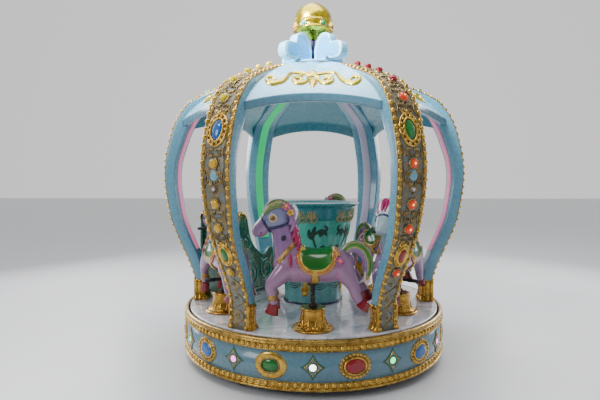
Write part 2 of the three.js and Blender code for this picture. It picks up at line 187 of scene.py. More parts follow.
def lathed(profile, radius, sides, ring=False, steps=2):
    """A solid of revolution from a profile in millimetres, with its corners rounded off."""
    return turned(eased(np.array(profile, float) * MM, radius * MM, steps, ring), sides, ring)


def unit(vectors):
    return vectors / np.maximum(np.linalg.norm(vectors, axis=-1, keepdims=True), 1e-12)


def domed_ends(stations, bulge):
    """Adds small rows at both ends of a limb's stations, so that it ends round."""
    s = np.asarray(stations, float)
    made = [s]
    for end, beside, place in ((s[0], s[1], 0), (s[-1], s[-2], 1)):
        way = unit(end[:3] - beside[:3])
        rows = []
        for degrees in (38, 76):
            lift = math.sin(math.radians(degrees)) * bulge * min(end[3], end[4])
            size = math.cos(math.radians(degrees)) * end[3:5]
            rows.append(np.concatenate([end[:3] + way * lift, size]))
        made = made + [np.array(rows)] if place else [np.array(rows[::-1])] + made
    return np.vstack(made)


def limb(stations, sides=20, per_span=5, across=(0, 1, 0), bulge=0.6):
    """A rounded limb. Each station is x, y, z, half width and half depth."""
    line = domed_ends(through(stations, per_span), bulge)
    way = unit(np.gradient(line[:, :3], axis=0))
    side = unit(np.asarray(across, float) - way * (way @ np.asarray(across, float))[:, None])
    deep = np.cross(way, side)
    angle = angles(sides)
    rows = (line[:, None, :3]
            + side[:, None] * np.cos(angle)[None, :, None] * line[:, None, 3:4]
            + deep[:, None] * np.sin(angle)[None, :, None] * line[:, None, 4:5])
    return skin(rows)


ROUND_RIDGE = [(-1, None), (-0.88, 0.45), (-0.5, 0.86), (0, 1), (0.5, 0.86), (0.88, 0.45), (1, None)]
PLAIN_RIDGE = [(-1, None), (-0.74, 0.68), (0, 1), (0.74, 0.68), (1, None)]
SINK = 2 * MM                     # how far ornaments reach into the face that they lie on


def ridge(line, half_width, height, loop=False, shape=ROUND_RIDGE):
    """A half-round moulding along a flat line, as (across, along, height) over a face.

    Here and in the ornaments that follow, places are in metres and sizes in millimetres.
    """
    line = np.asarray(line, float)
    count = len(line)
    way = unit(np.roll(line, -1, 0) - np.roll(line, 1, 0) if loop else np.gradient(line, axis=0))
    side = np.column_stack([-way[:, 1], way[:, 0]])
    width = np.broadcast_to(half_width, count) * MM
    tall = np.broadcast_to(height, count) * MM
    rows = np.empty((count, len(shape), 3))
    for k, (over, up) in enumerate(shape):
        rows[:, k, :2] = line + side * (over * width)[:, None]
        rows[:, k, 2] = -SINK if up is None else up * tall
    return skin(rows, along=loop)


def stroke(line, width, height, start=0.25, end=0.08, fullest=0.4, count=22, shape=PLAIN_RIDGE):
    """A moulded stroke that swells and tapers, as carved scrolls do."""
    line = evenly(line, count)
    half = swelling(count, width / 2, start, end, fullest)
    tall = height * (0.35 + 0.65 * half / half.max())
    return ridge(line, half, tall, shape=shape)


def dome(centre, half_across, half_along, height, sides=18, rings=4, turn=0.0):
    """A low round boss on a face, as (across, along, height)."""
    rows = []
    angle = angles(sides)
    flat = [(1, -SINK)]
    flat += [(math.cos(a), height * MM * math.sin(a)) for a in np.linspace(0, math.pi / 2 * 0.97, rings)]
    cos, sin = math.cos(math.radians(turn)), math.sin(math.radians(turn))
    for share, lift in flat:
        x, y = half_across * MM * share * np.cos(angle), half_along * MM * share * np.sin(angle)
        rows.append(raised(np.column_stack([x * cos - y * sin, x * sin + y * cos]) + centre, lift))
    return skin(rows)


def cut_stone(centre, half_across, half_along, height, sides=10):
    """A faceted stone on a face: girdle, crown facets and a flat table."""
    rows = []
    top = height * MM
    for share, lift, twist in ((1, -SINK, 0), (1, 0.3 * top, 0), (0.86, 0.72 * top, 0.5), (0.56, top, 0)):
        angle = (np.arange(sides) + twist) * TURN / sides
        girdle = np.column_stack([half_across * np.cos(angle), half_along * np.sin(angle)]) * MM
        rows.append(raised(girdle * share + centre, lift))
    return skin(rows)


def plate(outline, bottom, top, edge, steps=3):
    """A flat plate with a rounded rim, from a flat outline, as (across, along, height)."""
    line = np.asarray(outline, float)
    way = unit(np.roll(line, -1, 0) - np.roll(line, 1, 0))
    area = np.sum(line[:, 0] * np.roll(line[:, 1], -1) - np.roll(line[:, 0], -1) * line[:, 1])
    inward = np.column_stack([-way[:, 1], way[:, 0]]) * math.copysign(1, area)
    rows = []
    for k in range(steps + 1):
        a = math.pi / 2 * k / steps
        rows.append((edge * (1 - math.sin(a)), bottom + edge * (1 - math.cos(a))))
    rows = rows + [(inset, top + bottom - lift) for inset, lift in rows[::-1]]
    return skin([raised(line + inward * inset, lift) for inset, lift in rows])


def upright_plate(*form):
    """A plate that stands on its edge, from an outline as (x, z)."""
    corners, faces = plate(*form)
    return corners[:, [0, 2, 1]], faces


def spun(corners, angle):
    """Corners turned about the axis by an angle in degrees."""
    c, s = math.cos(math.radians(angle)), math.sin(math.radians(angle))
    return corners @ np.array([[c, s, 0], [-s, c, 0], [0, 0, 1]])


def round_face(angle, radius, height=0.0, arc_radius=None):
    """A round face about a plan angle: across along its arc, along is up. radius may follow the height."""
    def face(corners):
        r = radius(corners[:, 1]) if callable(radius) else radius
        a = math.radians(angle) + corners[:, 0] / (arc_radius or r)
        far = r + corners[:, 2]
        return np.column_stack([far * np.cos(a), far * np.sin(a), height + corners[:, 1]])
    return face


def sided(side, points):
    """Points or stations with their y turned to one side."""
    return [(x, side * y, *rest) for x, y, *rest in points]


class Shape:
    """Parts that are gathered into one mesh, each with its finish."""

    def __init__(self):
        self.corners = []
        self.faces = []
        self.finishes = []
        self.count = 0

    def add(self, part, finish, smooth=True):
        corners, faces = part
        if finish not in self.finishes:
            self.finishes.append(finish)
        for block in faces:
            self.faces.append((block + self.count, self.finishes.index(finish), smooth))
        self.corners.append(corners)
        self.count += len(corners)
        return self

    def lay(self, face, finish, *parts, smooth=True):
        """Adds parts given as (across, along, height), laid on a face."""
        for corners, faces in parts:
            self.add((face(np.asarray(corners)), faces), finish, smooth)
        return self

    def add_limb(self, stations, finish, sides, per_span, **form):
        """Adds a limb whose stations are in millimetres."""
        return self.add(limb(np.array(stations, float) * MM, sides, per_span, **form), finish)

    def moved(self, change, finish_of=None):
        """The same shape with its corners changed, and other finishes where finish_of names them."""
        other = Shape()
        other.finishes = [(finish_of or {}).get(finish, finish) for finish in self.finishes]
        other.faces = self.faces
        other.count = self.count
        other.corners = [change(np.vstack(self.corners))]
        return other

    def copy_spun(self, angle):
        return self.moved(lambda corners: spun(corners, angle))

    def mesh(self, name, weld=1e-6, outward=True):
        """One mesh with its seams closed and its faces pointing out."""
        made = bpy.data.meshes.new(name)
        corners = np.vstack(self.corners)
        loops = np.concatenate([block.ravel() for block, _, _ in self.faces])
        facts = np.array([(block.shape[1], f, s) for block, f, s in self.faces])
        sizes, finish, smooth = np.repeat(facts, [len(block) for block, _, _ in self.faces], 0).T
        made.vertices.add(len(corners))
        made.vertices.foreach_set("co", corners.astype(np.float32).ravel())
        made.loops.add(len(loops))
        made.loops.foreach_set("vertex_index", loops.astype(np.int32))
        made.polygons.add(len(sizes))
        made.polygons.foreach_set("loop_start", (np.cumsum(sizes) - sizes).astype(np.int32))
        made.polygons.foreach_set("material_index", finish.astype(np.int32))
        made.polygons.foreach_set("use_smooth", smooth.astype(bool))
        for finish_used in self.finishes:
            made.materials.append(finish_used)
        made.update(calc_edges=True)
        work = bmesh.new()
        work.from_mesh(made)
        bmesh.ops.remove_doubles(work, verts=work.verts, dist=weld)
        bmesh.ops.dissolve_degenerate(work, edges=work.edges, dist=weld)
        if outward:
            bmesh.ops.recalc_face_normals(work, faces=work.faces)
        work.to_mesh(made)
        work.free()
        return made


def placed(name, data):
    """A new object of the scene."""
    thing = bpy.data.objects.new(name, data)
    bpy.context.scene.collection.objects.link(thing)
    return thing


def piece(name, made, slot, *replaced, body="turntable"):
    """A finished piece that rides on a body and stands for CAD nodes. Its slot is not used."""
    thing = placed(name, made.mesh(name) if isinstance(made, Shape) else made)
    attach(thing, body)
    if replaced:
        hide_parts(*replaced)


# Repeats, made by Geometry Nodes


class Tree:
    """A Geometry Nodes tree that is built node by node."""

    def __init__(self, name, **inputs):
        self.group = bpy.data.node_groups.new(name, "GeometryNodeTree")
        face = self.group.interface
        face.new_socket("Geometry", in_out="INPUT", socket_type="NodeSocketGeometry")
        for label, kind in inputs.items():
            face.new_socket(label, in_out="INPUT", socket_type=kind)
        face.new_socket("Geometry", in_out="OUTPUT", socket_type="NodeSocketGeometry")
        self.start = self.group.nodes.new("NodeGroupInput")

    def add(self, kind, settings=None, *values, **links):
        """Adds a node, feeds its sockets by order or by name and returns its first output."""
        made = self.group.nodes.new(kind)
        for key, value in (settings or {}).items():
            setattr(made, key, value)
        for label, value in (*enumerate(values), *links.items()):
            socket = made.inputs[label.replace("_", " ") if isinstance(label, str) else label]
            if isinstance(value, bpy.types.NodeSocket):
                self.group.links.new(value, socket)
            else:
                socket.default_value = value
        return made.outputs[0]

    def given(self, label):
        return self.start.outputs[label]

    def end(self, geometry):
        """Makes real what was instanced, gives it its finish and sends it out."""
        real = self.add("GeometryNodeRealizeInstances", Geometry=geometry)
        soft = self.add("GeometryNodeSetShadeSmooth", Geometry=real)
        done = self.add("GeometryNodeSetMaterial", Geometry=soft, Material=self.given("Finish"))
        out = self.group.nodes.new("NodeGroupOutput")
        self.group.links.new(done, out.inputs[0])


def bead_tree():
    """Half-sunk round beads at even distances along lines of edges."""
    tree = Tree("bead_row", Spacing="NodeSocketFloat", Radius="NodeSocketFloat",
                Finish="NodeSocketMaterial")
    curve = tree.add("GeometryNodeMeshToCurve", Mesh=tree.given("Geometry"))
    spots = tree.add("GeometryNodeResampleCurve", {"mode": "LENGTH"}, Curve=curve,
                     Length=tree.given("Spacing"))
    bead = tree.add("GeometryNodeMeshIcoSphere", Radius=1.0, Subdivisions=2)
    rows = tree.add("GeometryNodeInstanceOnPoints", Points=spots, Instance=bead, Scale=tree.given("Radius"))
    tree.end(rows)
    return tree.group


def ring_tree():
    """Copies of a shape at even angles about the Z axis."""
    tree = Tree("ring_of_copies", Count="NodeSocketInt", Finish="NodeSocketMaterial")
    spots = tree.add("GeometryNodeMeshLine", Count=tree.given("Count"), Offset=(0, 0, 0))
    order = tree.add("GeometryNodeInputIndex")
    step = tree.add("ShaderNodeMath", {"operation": "DIVIDE"}, TURN, tree.given("Count"))
    angle = tree.add("ShaderNodeMath", {"operation": "MULTIPLY"}, order, step)
    turn = tree.add("FunctionNodeEulerToRotation", Euler=tree.add("ShaderNodeCombineXYZ", Z=angle))
    copies = tree.add("GeometryNodeInstanceOnPoints", Points=spots, Instance=tree.given("Geometry"),
                      Rotation=turn)
    tree.end(copies)
    return tree.group


BEADS = bead_tree()
RING = ring_tree()


def evaluated(thing):
    """The plain mesh of an object with its modifiers."""
    bpy.context.view_layer.update()
    graph = bpy.context.evaluated_depsgraph_get()
    return bpy.data.meshes.new_from_object(thing.evaluated_get(graph), depsgraph=graph)


def grown(name, mesh, group, **inputs):
    """The plain mesh that a Geometry Nodes tree makes from a source mesh."""
    source = placed(name + "_source", mesh)
    modifier = source.modifiers.new("repeat", "NODES")
    modifier.node_group = group
    for item in group.interface.items_tree:
        if item.in_out == "INPUT" and item.name in inputs:
            modifier[item.identifier] = inputs[item.name]
    made = evaluated(source)
    made.name = name
    source.modifiers.remove(modifier)
    bpy.data.objects.remove(source)
    return made


def line_mesh(name, lines):
    """Lines of edges. Each line is its points and whether it is a loop."""
    corners, edges = [], []
    for points, loop in lines:
        first = len(corners)
        corners += [tuple(point) for point in points]
        edges += [(first + i, first + i + 1) for i in range(len(points) - 1)]
        if loop:
            edges.append((len(corners) - 1, first))
    made = bpy.data.meshes.new(name)
    made.from_pydata(corners, edges, [])
    return made


def beading(name, lines, spacing, radius, finish=None, slot="gold_paint", body="turntable"):
    """A piece of round beads along lines."""
    made = grown(name, line_mesh(name, lines), BEADS, Spacing=spacing * MM, Radius=radius * MM,
                 Finish=finish or GOLD)
    piece(name, made, slot, body=body)


# Finishes


class Wire:
    """A shader socket that takes part in sums: an expression on values adds its Math nodes."""

    def __init__(self, paint, socket):
        self.paint = paint
        self.socket = socket

    def maths(self, operation, first, second):
        return self.paint.node("ShaderNodeMath", {"operation": operation}, first, second)

    def __radd__(self, other):
        return self.maths("ADD", other, self)

    def __mul__(self, other):
        return self.maths("MULTIPLY", self, other)

    def __gt__(self, other):
        return self.maths("GREATER_THAN", self, other)

    def __lt__(self, other):
        return self.maths("LESS_THAN", self, other)


class Paint:
    """One finish: a Principled shader whose colour, gloss and bump come from nodes."""

    def __init__(self, name, **shader):
        self.material = bpy.data.materials.new(name)
        self.material.use_nodes = True
        self.tree = self.material.node_tree
        self.shader = self.tree.nodes["Principled BSDF"]
        for label, value in shader.items():
            self.set(label.replace("_", " "), value)
        self.place = Wire(self, self.tree.nodes.new("ShaderNodeTexCoord").outputs["Object"])

    def feed(self, socket, value):
        if isinstance(value, Wire):
            self.tree.links.new(value.socket, socket)
        else:
            socket.default_value = value

    def set(self, label, value):
        self.feed(self.shader.inputs[label], value)

    def node(self, kind, settings, *values, output=0, **links):
        made = self.tree.nodes.new(kind)
        for key, value in (settings or {}).items():
            if key == "stops":
                self.set_stops(made.color_ramp, value)
            else:
                setattr(made, key, value)
        for i, value in enumerate(values):
            self.feed(made.inputs[i], value)
        for label, value in links.items():
            self.feed(made.inputs[label.replace("_", " ")], value)
        return Wire(self, made.outputs[output])

    def set_stops(self, ramp, stops):
        while len(ramp.elements) < len(stops):
            ramp.elements.new(0.5)
        for element, (place, colour) in zip(ramp.elements, stops):
            element.position = place
            element.color = (*colour, 1)

    def noise(self, scale, detail=2.0, place=None):
        return self.node("ShaderNodeTexNoise", None, Vector=place or self.place, Scale=scale, Detail=detail)

    def ramp(self, value, *stops):
        return self.node("ShaderNodeValToRGB", {"stops": stops}, value)

    def mix(self, share, first, second):
        made = self.tree.nodes.new("ShaderNodeMix")
        made.data_type = "RGBA"
        for label, value in (("Factor_Float", share), ("A_Color", first), ("B_Color", second)):
            socket = next(s for s in made.inputs if s.identifier == label)
            colour = label != "Factor_Float" and not isinstance(value, Wire)
            self.feed(socket, (*value, 1) if colour else value)
        return Wire(self, next(s for s in made.outputs if s.identifier == "Result_Color"))

    def done(self, colour, roughness, height, strength, distance):
        """Sets colour, gloss and bump (its distance in millimetres), and gives the material."""
        self.set("Base Color", colour)
        self.set("Roughness", roughness)
        bump = self.node("ShaderNodeBump", None, Strength=strength, Distance=distance * MM, Height=height)
        self.set("Normal", bump)
        return self.material


def shell_paint(name, light, deep, gloss=0.2, coat=0.5):
    """Gloss paint on glass fibre: faint clouding, a gloss that varies and a soft ripple."""
    paint = Paint(name, Coat_Weight=coat, Coat_Roughness=0.06)
    colour = paint.mix(paint.noise(5, 3), light, deep)
    return paint.done(colour, gloss + paint.noise(38) * 0.14, paint.noise(26), 0.12, 2)


def gold_paint(name, bright, brown, metal, gloss=0.22):
    """Gold metallic paint, browner where it has pooled or worn."""
    paint = Paint(name, Metallic=metal, Coat_Weight=0.25, Coat_Roughness=0.12)
    pooled = paint.ramp(paint.noise(30, 5), (0.36, brown), (0.6, bright))
    return paint.done(pooled, gloss + paint.noise(90) * 0.2, paint.noise(120, 3), 0.25, 1.2)


def stone(name, light, deep, glow):
    """A moulded plastic stone, deeper in colour at places, with a glow in its own colour: on the unlit
    stones a faint painted glow, on the ember stones the light of their lamps.
    """
    paint = Paint(name, Coat_Weight=0.5, Coat_Roughness=0.05, Roughness=0.16)
    colour = paint.mix(paint.noise(70, 2), light, deep)
    paint.set("Base Color", colour)
    paint.set("Emission Color", colour)
    paint.set("Emission Strength", glow)
    return paint.material


def lamp(name, colour, glow, strength):
    """A lit diffuser, a little brighter in places."""
    paint = Paint(name, Roughness=0.5, Base_Color=(*colour, 1), Emission_Strength=strength)
    paint.set("Emission Color", paint.mix(paint.noise(9, 1), glow, tuple(0.8 * c for c in glow)))
    return paint.material


def deck_paint():
    """Pearl white with faint grey wavy streaks, as on the turning floor."""
    paint = Paint("pearl_white", Coat_Weight=0.8, Coat_Roughness=0.05)
    bend = paint.noise(2.2, 2)
    streak = paint.noise(7, 5, place=paint.node(
        "ShaderNodeVectorMath", {"operation": "MULTIPLY_ADD"}, paint.place, (1, 0.35, 1), bend))
    colour = paint.ramp(streak, (0.32, (0.3, 0.34, 0.38)), (0.46, (0.56, 0.56, 0.62)),
                        (0.55, (0.82, 0.8, 0.86)), (0.66, (0.5, 0.54, 0.58)))
    return paint.done(colour, 0.12 + streak * 0.22, paint.noise(11, 2), 0.2, 4)


def barrel_paint():
    """Teal that turns bluer towards the floor."""
    paint = Paint("barrel_teal", Coat_Weight=0.6, Coat_Roughness=0.06)
    height = paint.node("ShaderNodeSeparateXYZ", None, paint.place, output=2)
    cloud = paint.noise(5, 3) * 0.5
    upper = paint.mix(cloud, (0.07, 0.6, 0.46), (0.045, 0.48, 0.38))
    lower = paint.mix(cloud, (0.16, 0.5, 0.5), (0.1, 0.4, 0.41))
    share = paint.node("ShaderNodeMapRange", None, height, 0.5, 0.75, 0.0, 1.0)
    colour = paint.mix(share, lower, upper)
    return paint.done(colour, 0.2 + paint.noise(38) * 0.14, paint.noise(26), 0.12, 2)


def field_paint():
    """The ribs' outer ground: dull lilac grey with golden rub marks round the carving."""
    paint = Paint("rib_ground", Coat_Weight=0.3, Coat_Roughness=0.15)
    rub = paint.ramp(paint.noise(26, 4), (0.38, (0.15, 0.185, 0.19)), (0.5, (0.14, 0.13, 0.09)),
                     (0.62, (0.27, 0.19, 0.07)))
    return paint.done(rub, 0.3 + paint.noise(60) * 0.2, paint.noise(48, 4), 0.5, 2.5)


def steel_paint(name, colour):
    """Satin paint on steel with fine speckle."""
    paint = Paint(name, Metallic=0.3)
    fine = paint.noise(160, 3)
    speckled = paint.mix(fine, colour, tuple(1.5 * c + 0.01 for c in colour))
    return paint.done(speckled, 0.4 + paint.noise(24) * 0.2, fine, 0.1, 0.5)


LIGHT_BLUE = shell_paint("light_blue_gloss", (0.2, 0.46, 0.6), (0.14, 0.37, 0.52))
# The ribs' blue is a darker copy of the light blue shell paint: painted shade for the backlit ribs.
RIB_SHADE_BLUE = shell_paint("rib_painted_shade_gloss", (0.15, 0.38, 0.5), (0.11, 0.31, 0.43))
# The skirt's blue is a darker copy of the light blue shell paint: painted shade for the dimmer light low on
# the base.
SKIRT_SHADE_BLUE = shell_paint("skirt_painted_shade_gloss", (0.12, 0.25, 0.32), (0.085, 0.19, 0.26))
# The paler blue on the panel tops, hub and brackets is a lighter copy of the same shell paint: painted
# light from above.
PALE_LIT_BLUE = shell_paint("pale_painted_light_gloss", (0.32, 0.71, 0.96), (0.25, 0.62, 0.9))
# The deeper blue on the brackets' inset faces is painted shade on the faces turned from the light.
INSET_SHADE_BLUE = shell_paint("inset_painted_shade_gloss", (0.09, 0.46, 0.85), (0.07, 0.4, 0.78))
# The eave's slate blue and the ceiling's darker blue are shaded copies of the panel's paint: painted shade
# under the roof's edge.
EAVE_SHADE_BLUE = shell_paint("eave_painted_shade_gloss", (0.1, 0.27, 0.37), (0.08, 0.22, 0.31))
CEILING_SHADE_BLUE = shell_paint("ceiling_painted_shade_gloss", (0.11, 0.38, 0.46), (0.08, 0.3, 0.38))
CYAN = shell_paint("cyan_gloss", (0.03, 0.34, 0.37), (0.02, 0.27, 0.31))
DARK_GREEN = shell_paint("dark_green_gloss", (0.004, 0.12, 0.065), (0.002, 0.07, 0.04))
LEAF_GREEN = shell_paint("leaf_green_gloss", (0.0, 0.085, 0.05), (0.0, 0.055, 0.03), 0.3, 0.2)
MID_GREEN = shell_paint("mid_green_gloss", (0.03, 0.36, 0.27), (0.015, 0.26, 0.19))
NAVY = shell_paint("navy_gloss", (0.012, 0.018, 0.1), (0.008, 0.012, 0.07))
GOLD = gold_paint("gold", (0.74, 0.47, 0.09), (0.46, 0.27, 0.04), 0.95, 0.16)
RING_GOLD = gold_paint("ring_gold", (0.52, 0.33, 0.07), (0.28, 0.16, 0.03), 0.95, 0.18)
# A darker, duller gold: partly the carving's own brown gold, partly painted shade on the backlit ribs'
# carving and on the band behind the skirt's oval beads.
DULL_GOLD_AND_SHADE = gold_paint("dull_gold_and_painted_shade", (0.4, 0.29, 0.12), (0.13, 0.1, 0.05), 0.7, 0.22)
RAIL_GOLD = gold_paint("rail_gold", (0.44, 0.29, 0.08), (0.18, 0.11, 0.03), 0.85, 0.2)
BALL_GOLD = gold_paint("ball_gold", (0.62, 0.47, 0.012), (0.36, 0.26, 0.004), 0.92, 0.15)
SCROLL_GOLD = gold_paint("scroll_gold", (0.8, 0.63, 0.07), (0.52, 0.38, 0.03), 0.88, 0.14)
BOOT_GOLD = gold_paint("boot_gold", (0.58, 0.33, 0.05), (0.36, 0.18, 0.02), 0.9, 0.15)
OCHRE = gold_paint("ochre", (0.52, 0.43, 0.18), (0.2, 0.34, 0.2), 0.1, 0.3)
PEARL = deck_paint()
BARREL_PAINT = barrel_paint()
FIELD = field_paint()
BLACK = steel_paint("black_satin", (0.012, 0.012, 0.014))
STEEL = steel_paint("chassis_grey", (0.045, 0.047, 0.052))
# The small glow of the stones that are not lamps is painted glow; only the ember stones are lit.
YELLOW_STONE = stone("yellow_stone", (0.78, 0.47, 0.0), (0.5, 0.26, 0.0), 0.03)
LEMON_STONE = stone("lemon_stone", (0.7, 0.57, 0.0), (0.5, 0.36, 0.0), 0.02)
RED_STONE = stone("red_stone", (0.38, 0.002, 0.01), (0.16, 0.001, 0.004), 0.05)
BLUE_STONE = stone("blue_stone", (0.012, 0.15, 0.46), (0.005, 0.07, 0.27), 0.06)
GREEN_STONE = stone("green_stone", (0.004, 0.22, 0.02), (0.001, 0.1, 0.008), 0.05)
AQUA_STONE = stone("aqua_stone", (0.02, 0.6, 0.58), (0.01, 0.4, 0.46), 0.12)
CLEAR_STONE = stone("clear_stone", (0.75, 0.72, 0.9), (0.4, 0.36, 0.6), 0.05)
EMBER_STONE = stone("ember_stone", (0.75, 0.05, 0.0), (0.4, 0.008, 0.0), 0.42)
AMBER_LAMP = lamp("amber_lamp", (0.9, 0.24, 0.0), (1.0, 0.27, 0.0), 1.15)
CORE_LAMP = lamp("core_lamp", (1.0, 0.6, 0.15), (1.0, 0.6, 0.15), 3.0)
WHITE_LAMP = lamp("white_lamp", (0.95, 0.93, 1.0), (0.95, 0.93, 1.0), 4.5)
GREEN_LAMP = lamp("green_lamp", (0.1, 1.0, 0.35), (0.12, 1.0, 0.4), 2.2)
PINK_LAMP = lamp("pink_lamp", (1.0, 0.3, 0.75), (1.0, 0.3, 0.75), 2.4)
LED_GREEN = lamp("led_green", (0.0, 0.02, 0.005), (0.0, 0.7, 0.22), 0.9)
LED_PINK = lamp("led_pink", (0.8, 0.22, 0.4), (0.95, 0.3, 0.5), 0.5)
# The strips that are off keep a faint painted glow.
LED_OFF_PAINTED_GLOW = lamp("led_off_painted_glow", (0.5, 0.46, 0.6), (0.5, 0.46, 0.6), 0.06)


# The fixed base

# Base rings as (radius, height) in millimetres: a rounded lip beside a groove for the beads
LOWER_RING = [
    (899, 46), (909, 47), (912, 49), (913, 54), (911, 59), (903, 62), (901, 66), (901, 88), (904, 91),
    (903, 94), (899, 95),
]
UPPER_RING = [
    (883, 268), (899, 262), (904, 263), (904, 266), (900, 269), (900, 294), (905, 297), (907, 301),
    (902, 305), (901, 309), (907, 313), (908, 320), (903, 327), (893, 330), (886, 327), (883, 318),
]
GROOVE_RADIUS = 898
GROOVE_BEAD = 15                  # bead radii and spacings are in millimetres
OVAL_BEAD = 9
BASE_SIDES = 180
STAR_ACROSS = 69 * MM
STAR_ALONG = 74 * MM
OVAL_ACROSS = 95
OVAL_ALONG = 74
OVAL_PLACES = 2 * BAYS
VIEW_ANGLE = 270                  # the plan angle of the side that the photograph shows


def on_skirt(angle):
    """The skirt's face at a plan angle."""
    return round_face(angle, SKIRT_RADIUS, ORNAMENT_Z)


def star_outline(share, waist, count=8):
    """A four-pointed star with hollow sides."""
    points = []
    for quarter in range(4):
        a = math.radians(90 * quarter)
        b = a + math.pi / 2
        tip = np.array([math.cos(a) * STAR_ACROSS, math.sin(a) * STAR_ALONG]) * share
        following = np.array([math.cos(b) * STAR_ACROSS, math.sin(b) * STAR_ALONG]) * share
        inner = (tip + following) / 2 * waist
        for k in range(count):
            w = k / count
            points.append((1 - w)**2 * tip + 2 * w * (1 - w) * inner + w * w * following)
    return np.array(points)


def add_star(skirt, face, lit):
    """A dark green star with a fine gold star on it and a round lamp in a dark cup."""
    skirt.lay(face, DARK_GREEN, plate(star_outline(1, 0.62), -2 * MM, 4 * MM, 1.5 * MM))
    skirt.lay(face, SKIRT_SHADE_BLUE, plate(star_outline(0.7, 0.66), 2 * MM, 4.6 * MM, 1 * MM))
    skirt.lay(face, GOLD, ridge(star_outline(0.7, 0.66), 2.6, 7, loop=True))
    skirt.lay(face, DARK_GREEN, ridge(oval_line(24, 24, 24), 5, 9, loop=True))
    skirt.lay(face, lit, dome((0, 0), 21, 21, 13))


def inner_oval(across, along, count=40):
    """A line at some distance inside the outline of a large oval."""
    return oval_line(OVAL_ACROSS - across, OVAL_ALONG - along, count)


def add_plain_oval(skirt, face, gem):
    """A wide smooth gold ring round a smooth stone."""
    skirt.lay(face, GOLD, ridge(inner_oval(23, 20), 23, 10, loop=True))
    skirt.lay(face, DULL_GOLD_AND_SHADE, ridge(oval_line(52, 38), 5, 13, loop=True))
    skirt.lay(face, gem, dome((0, 0), 50, 37, 16, 28, 6))


def add_beaded_oval(skirt, face, gem):
    """A gold frame round a cut stone. Its beads are a piece of their own."""
    # The darker band under the beads is painted shade between them.
    skirt.lay(face, DULL_GOLD_AND_SHADE, ridge(inner_oval(13, 11), 13, 5, loop=True))
    skirt.lay(face, GOLD, ridge(inner_oval(33, 28), 7, 11, loop=True))
    skirt.lay(face, gem, cut_stone((0, 0), OVAL_ACROSS - 36, OVAL_ALONG - 32, 17, 14), smooth=False)


def make_base():
    skirt = Shape()
    wall = np.array([(891, 52), (900, 52), (900, 267), (891, 267)]) * MM
    skirt.add(turned(wall, BASE_SIDES, ring=True), SKIRT_SHADE_BLUE)
    oval_beads = []
    for j in range(OVAL_PLACES):
        angle = VIEW_ANGLE + BAY_DEGREES * j / 2
        add_star(skirt, on_skirt(angle), (WHITE_LAMP, GREEN_LAMP, PINK_LAMP)[j % 3])
        face = on_skirt(angle + BAY_DEGREES / 4)
        if j % 3 == 2:
            add_plain_oval(skirt, face, GREEN_STONE)
        else:
            add_beaded_oval(skirt, face, (RED_STONE, BLUE_STONE)[j % 3])
            oval_beads.append((face(raised(inner_oval(11, 10, 64), 4 * MM)), True))
    piece("base_skirt_dressed", skirt, "light_blue_shell", "base_skirt", body="base")
    beading("skirt_oval_beads", oval_beads, 22, OVAL_BEAD, body="base")
    groove = oval_line(GROOVE_RADIUS, GROOVE_RADIUS, BASE_SIDES)
    for where, ring, height, spacing in (("lower", LOWER_RING, 77, 42), ("upper", UPPER_RING, 281.5, 38)):
        hoop = Shape().add(lathed(ring, 2, BASE_SIDES, ring=True), RING_GOLD)
        piece(f"base_{where}_ring", hoop, "gold_paint", f"base_{where}_trim", body="base")
        line = raised(groove, height * MM)
        beading(f"base_{where}_beads", [(line, True)], spacing, GROOVE_BEAD, body="base")


def make_deck():
    rim, top = DECK_RADIUS / MM, DECK_TOP / MM
    profile = [(0, 292), (198, 292), (199, 311), (870, 311), (rim, 315), (rim, top - 4), (871, top),
               (0, top)]
    piece("deck_floor", Shape().add(lathed(profile, 3, 160), PEARL), "pearl_deck", "deck")


# The crown's ribs. Each station is radius, height, face width and depth in millimetres.

RIB_STATIONS = [
    (868, 334, 138, 85), (867, 494, 138, 84), (914, 635, 144, 84), (980, 785, 158, 84),
    (1027, 915, 178, 83), (1045, 1015, 190, 82), (1063, 1145, 201, 82), (1067, 1245, 205, 84),
    (1058, 1365, 206, 90), (1030, 1485, 206, 100), (982, 1625, 204, 108), (886, 1755, 194, 106),
    (760, 1825, 180, 100), (653, 1868, 168, 96), (545, 1907, 154, 92), (350, 1965, 126, 86),
    (147, 2008, 96, 82),
]
RIB_SAMPLES = 600
INNER_SHARE = 0.96
RAIL_SHARE = 0.145                # width of the beaded gold rail on each edge, in face widths
RAIL_DROP = 13 * MM               # the rails lie lower than the beads' tops
FIELD_DROP = 17 * MM              # the ground between them lies lower still
FIELD_SWELL = 7 * MM
BEAD_RADIUS = 14
BEAD_SPACING = 46
OVAL_BEAD_SPACING = 31


def rib_table():
    """Distance along the rib, radius, height, width, depth and the outward direction."""
    stations = np.array(RIB_STATIONS, float) * MM
    places = through(stations[:, :2], 24)
    sizes = through(stations[:, 2:], 24)
    rows = evenly(np.column_stack([places, sizes]), RIB_SAMPLES)
    way = unit(np.gradient(rows[:, :2], axis=0))
    return np.column_stack([lengths(rows[:, :2]), rows, way[:, 1], -way[:, 0]])


RIB = rib_table()
RIB_LENGTH = RIB[-1, 0]


def rib_at(s):
    """Radius, height, width, depth and outward direction at distances along the rib."""
    return [np.interp(s, RIB[:, 0], RIB[:, k]) for k in range(1, 7)]


def rib_place(height):
    """The distance along the rib at a height over the base ring's bottom."""
    return float(np.interp(height + RING_BOTTOM, RIB[:, 2], RIB[:, 0]))


def on_rib(corners):
    """The face of the rib at plan angle 0: across, distance along, height over its ground."""
    r, z, width, _, out_r, out_z = rib_at(corners[:, 1])
    swell = FIELD_SWELL * (1 - (2 * corners[:, 0] / width)**2)
    lift = corners[:, 2] - FIELD_DROP + swell
    return np.column_stack([r + out_r * lift, corners[:, 0], z + out_z * lift])


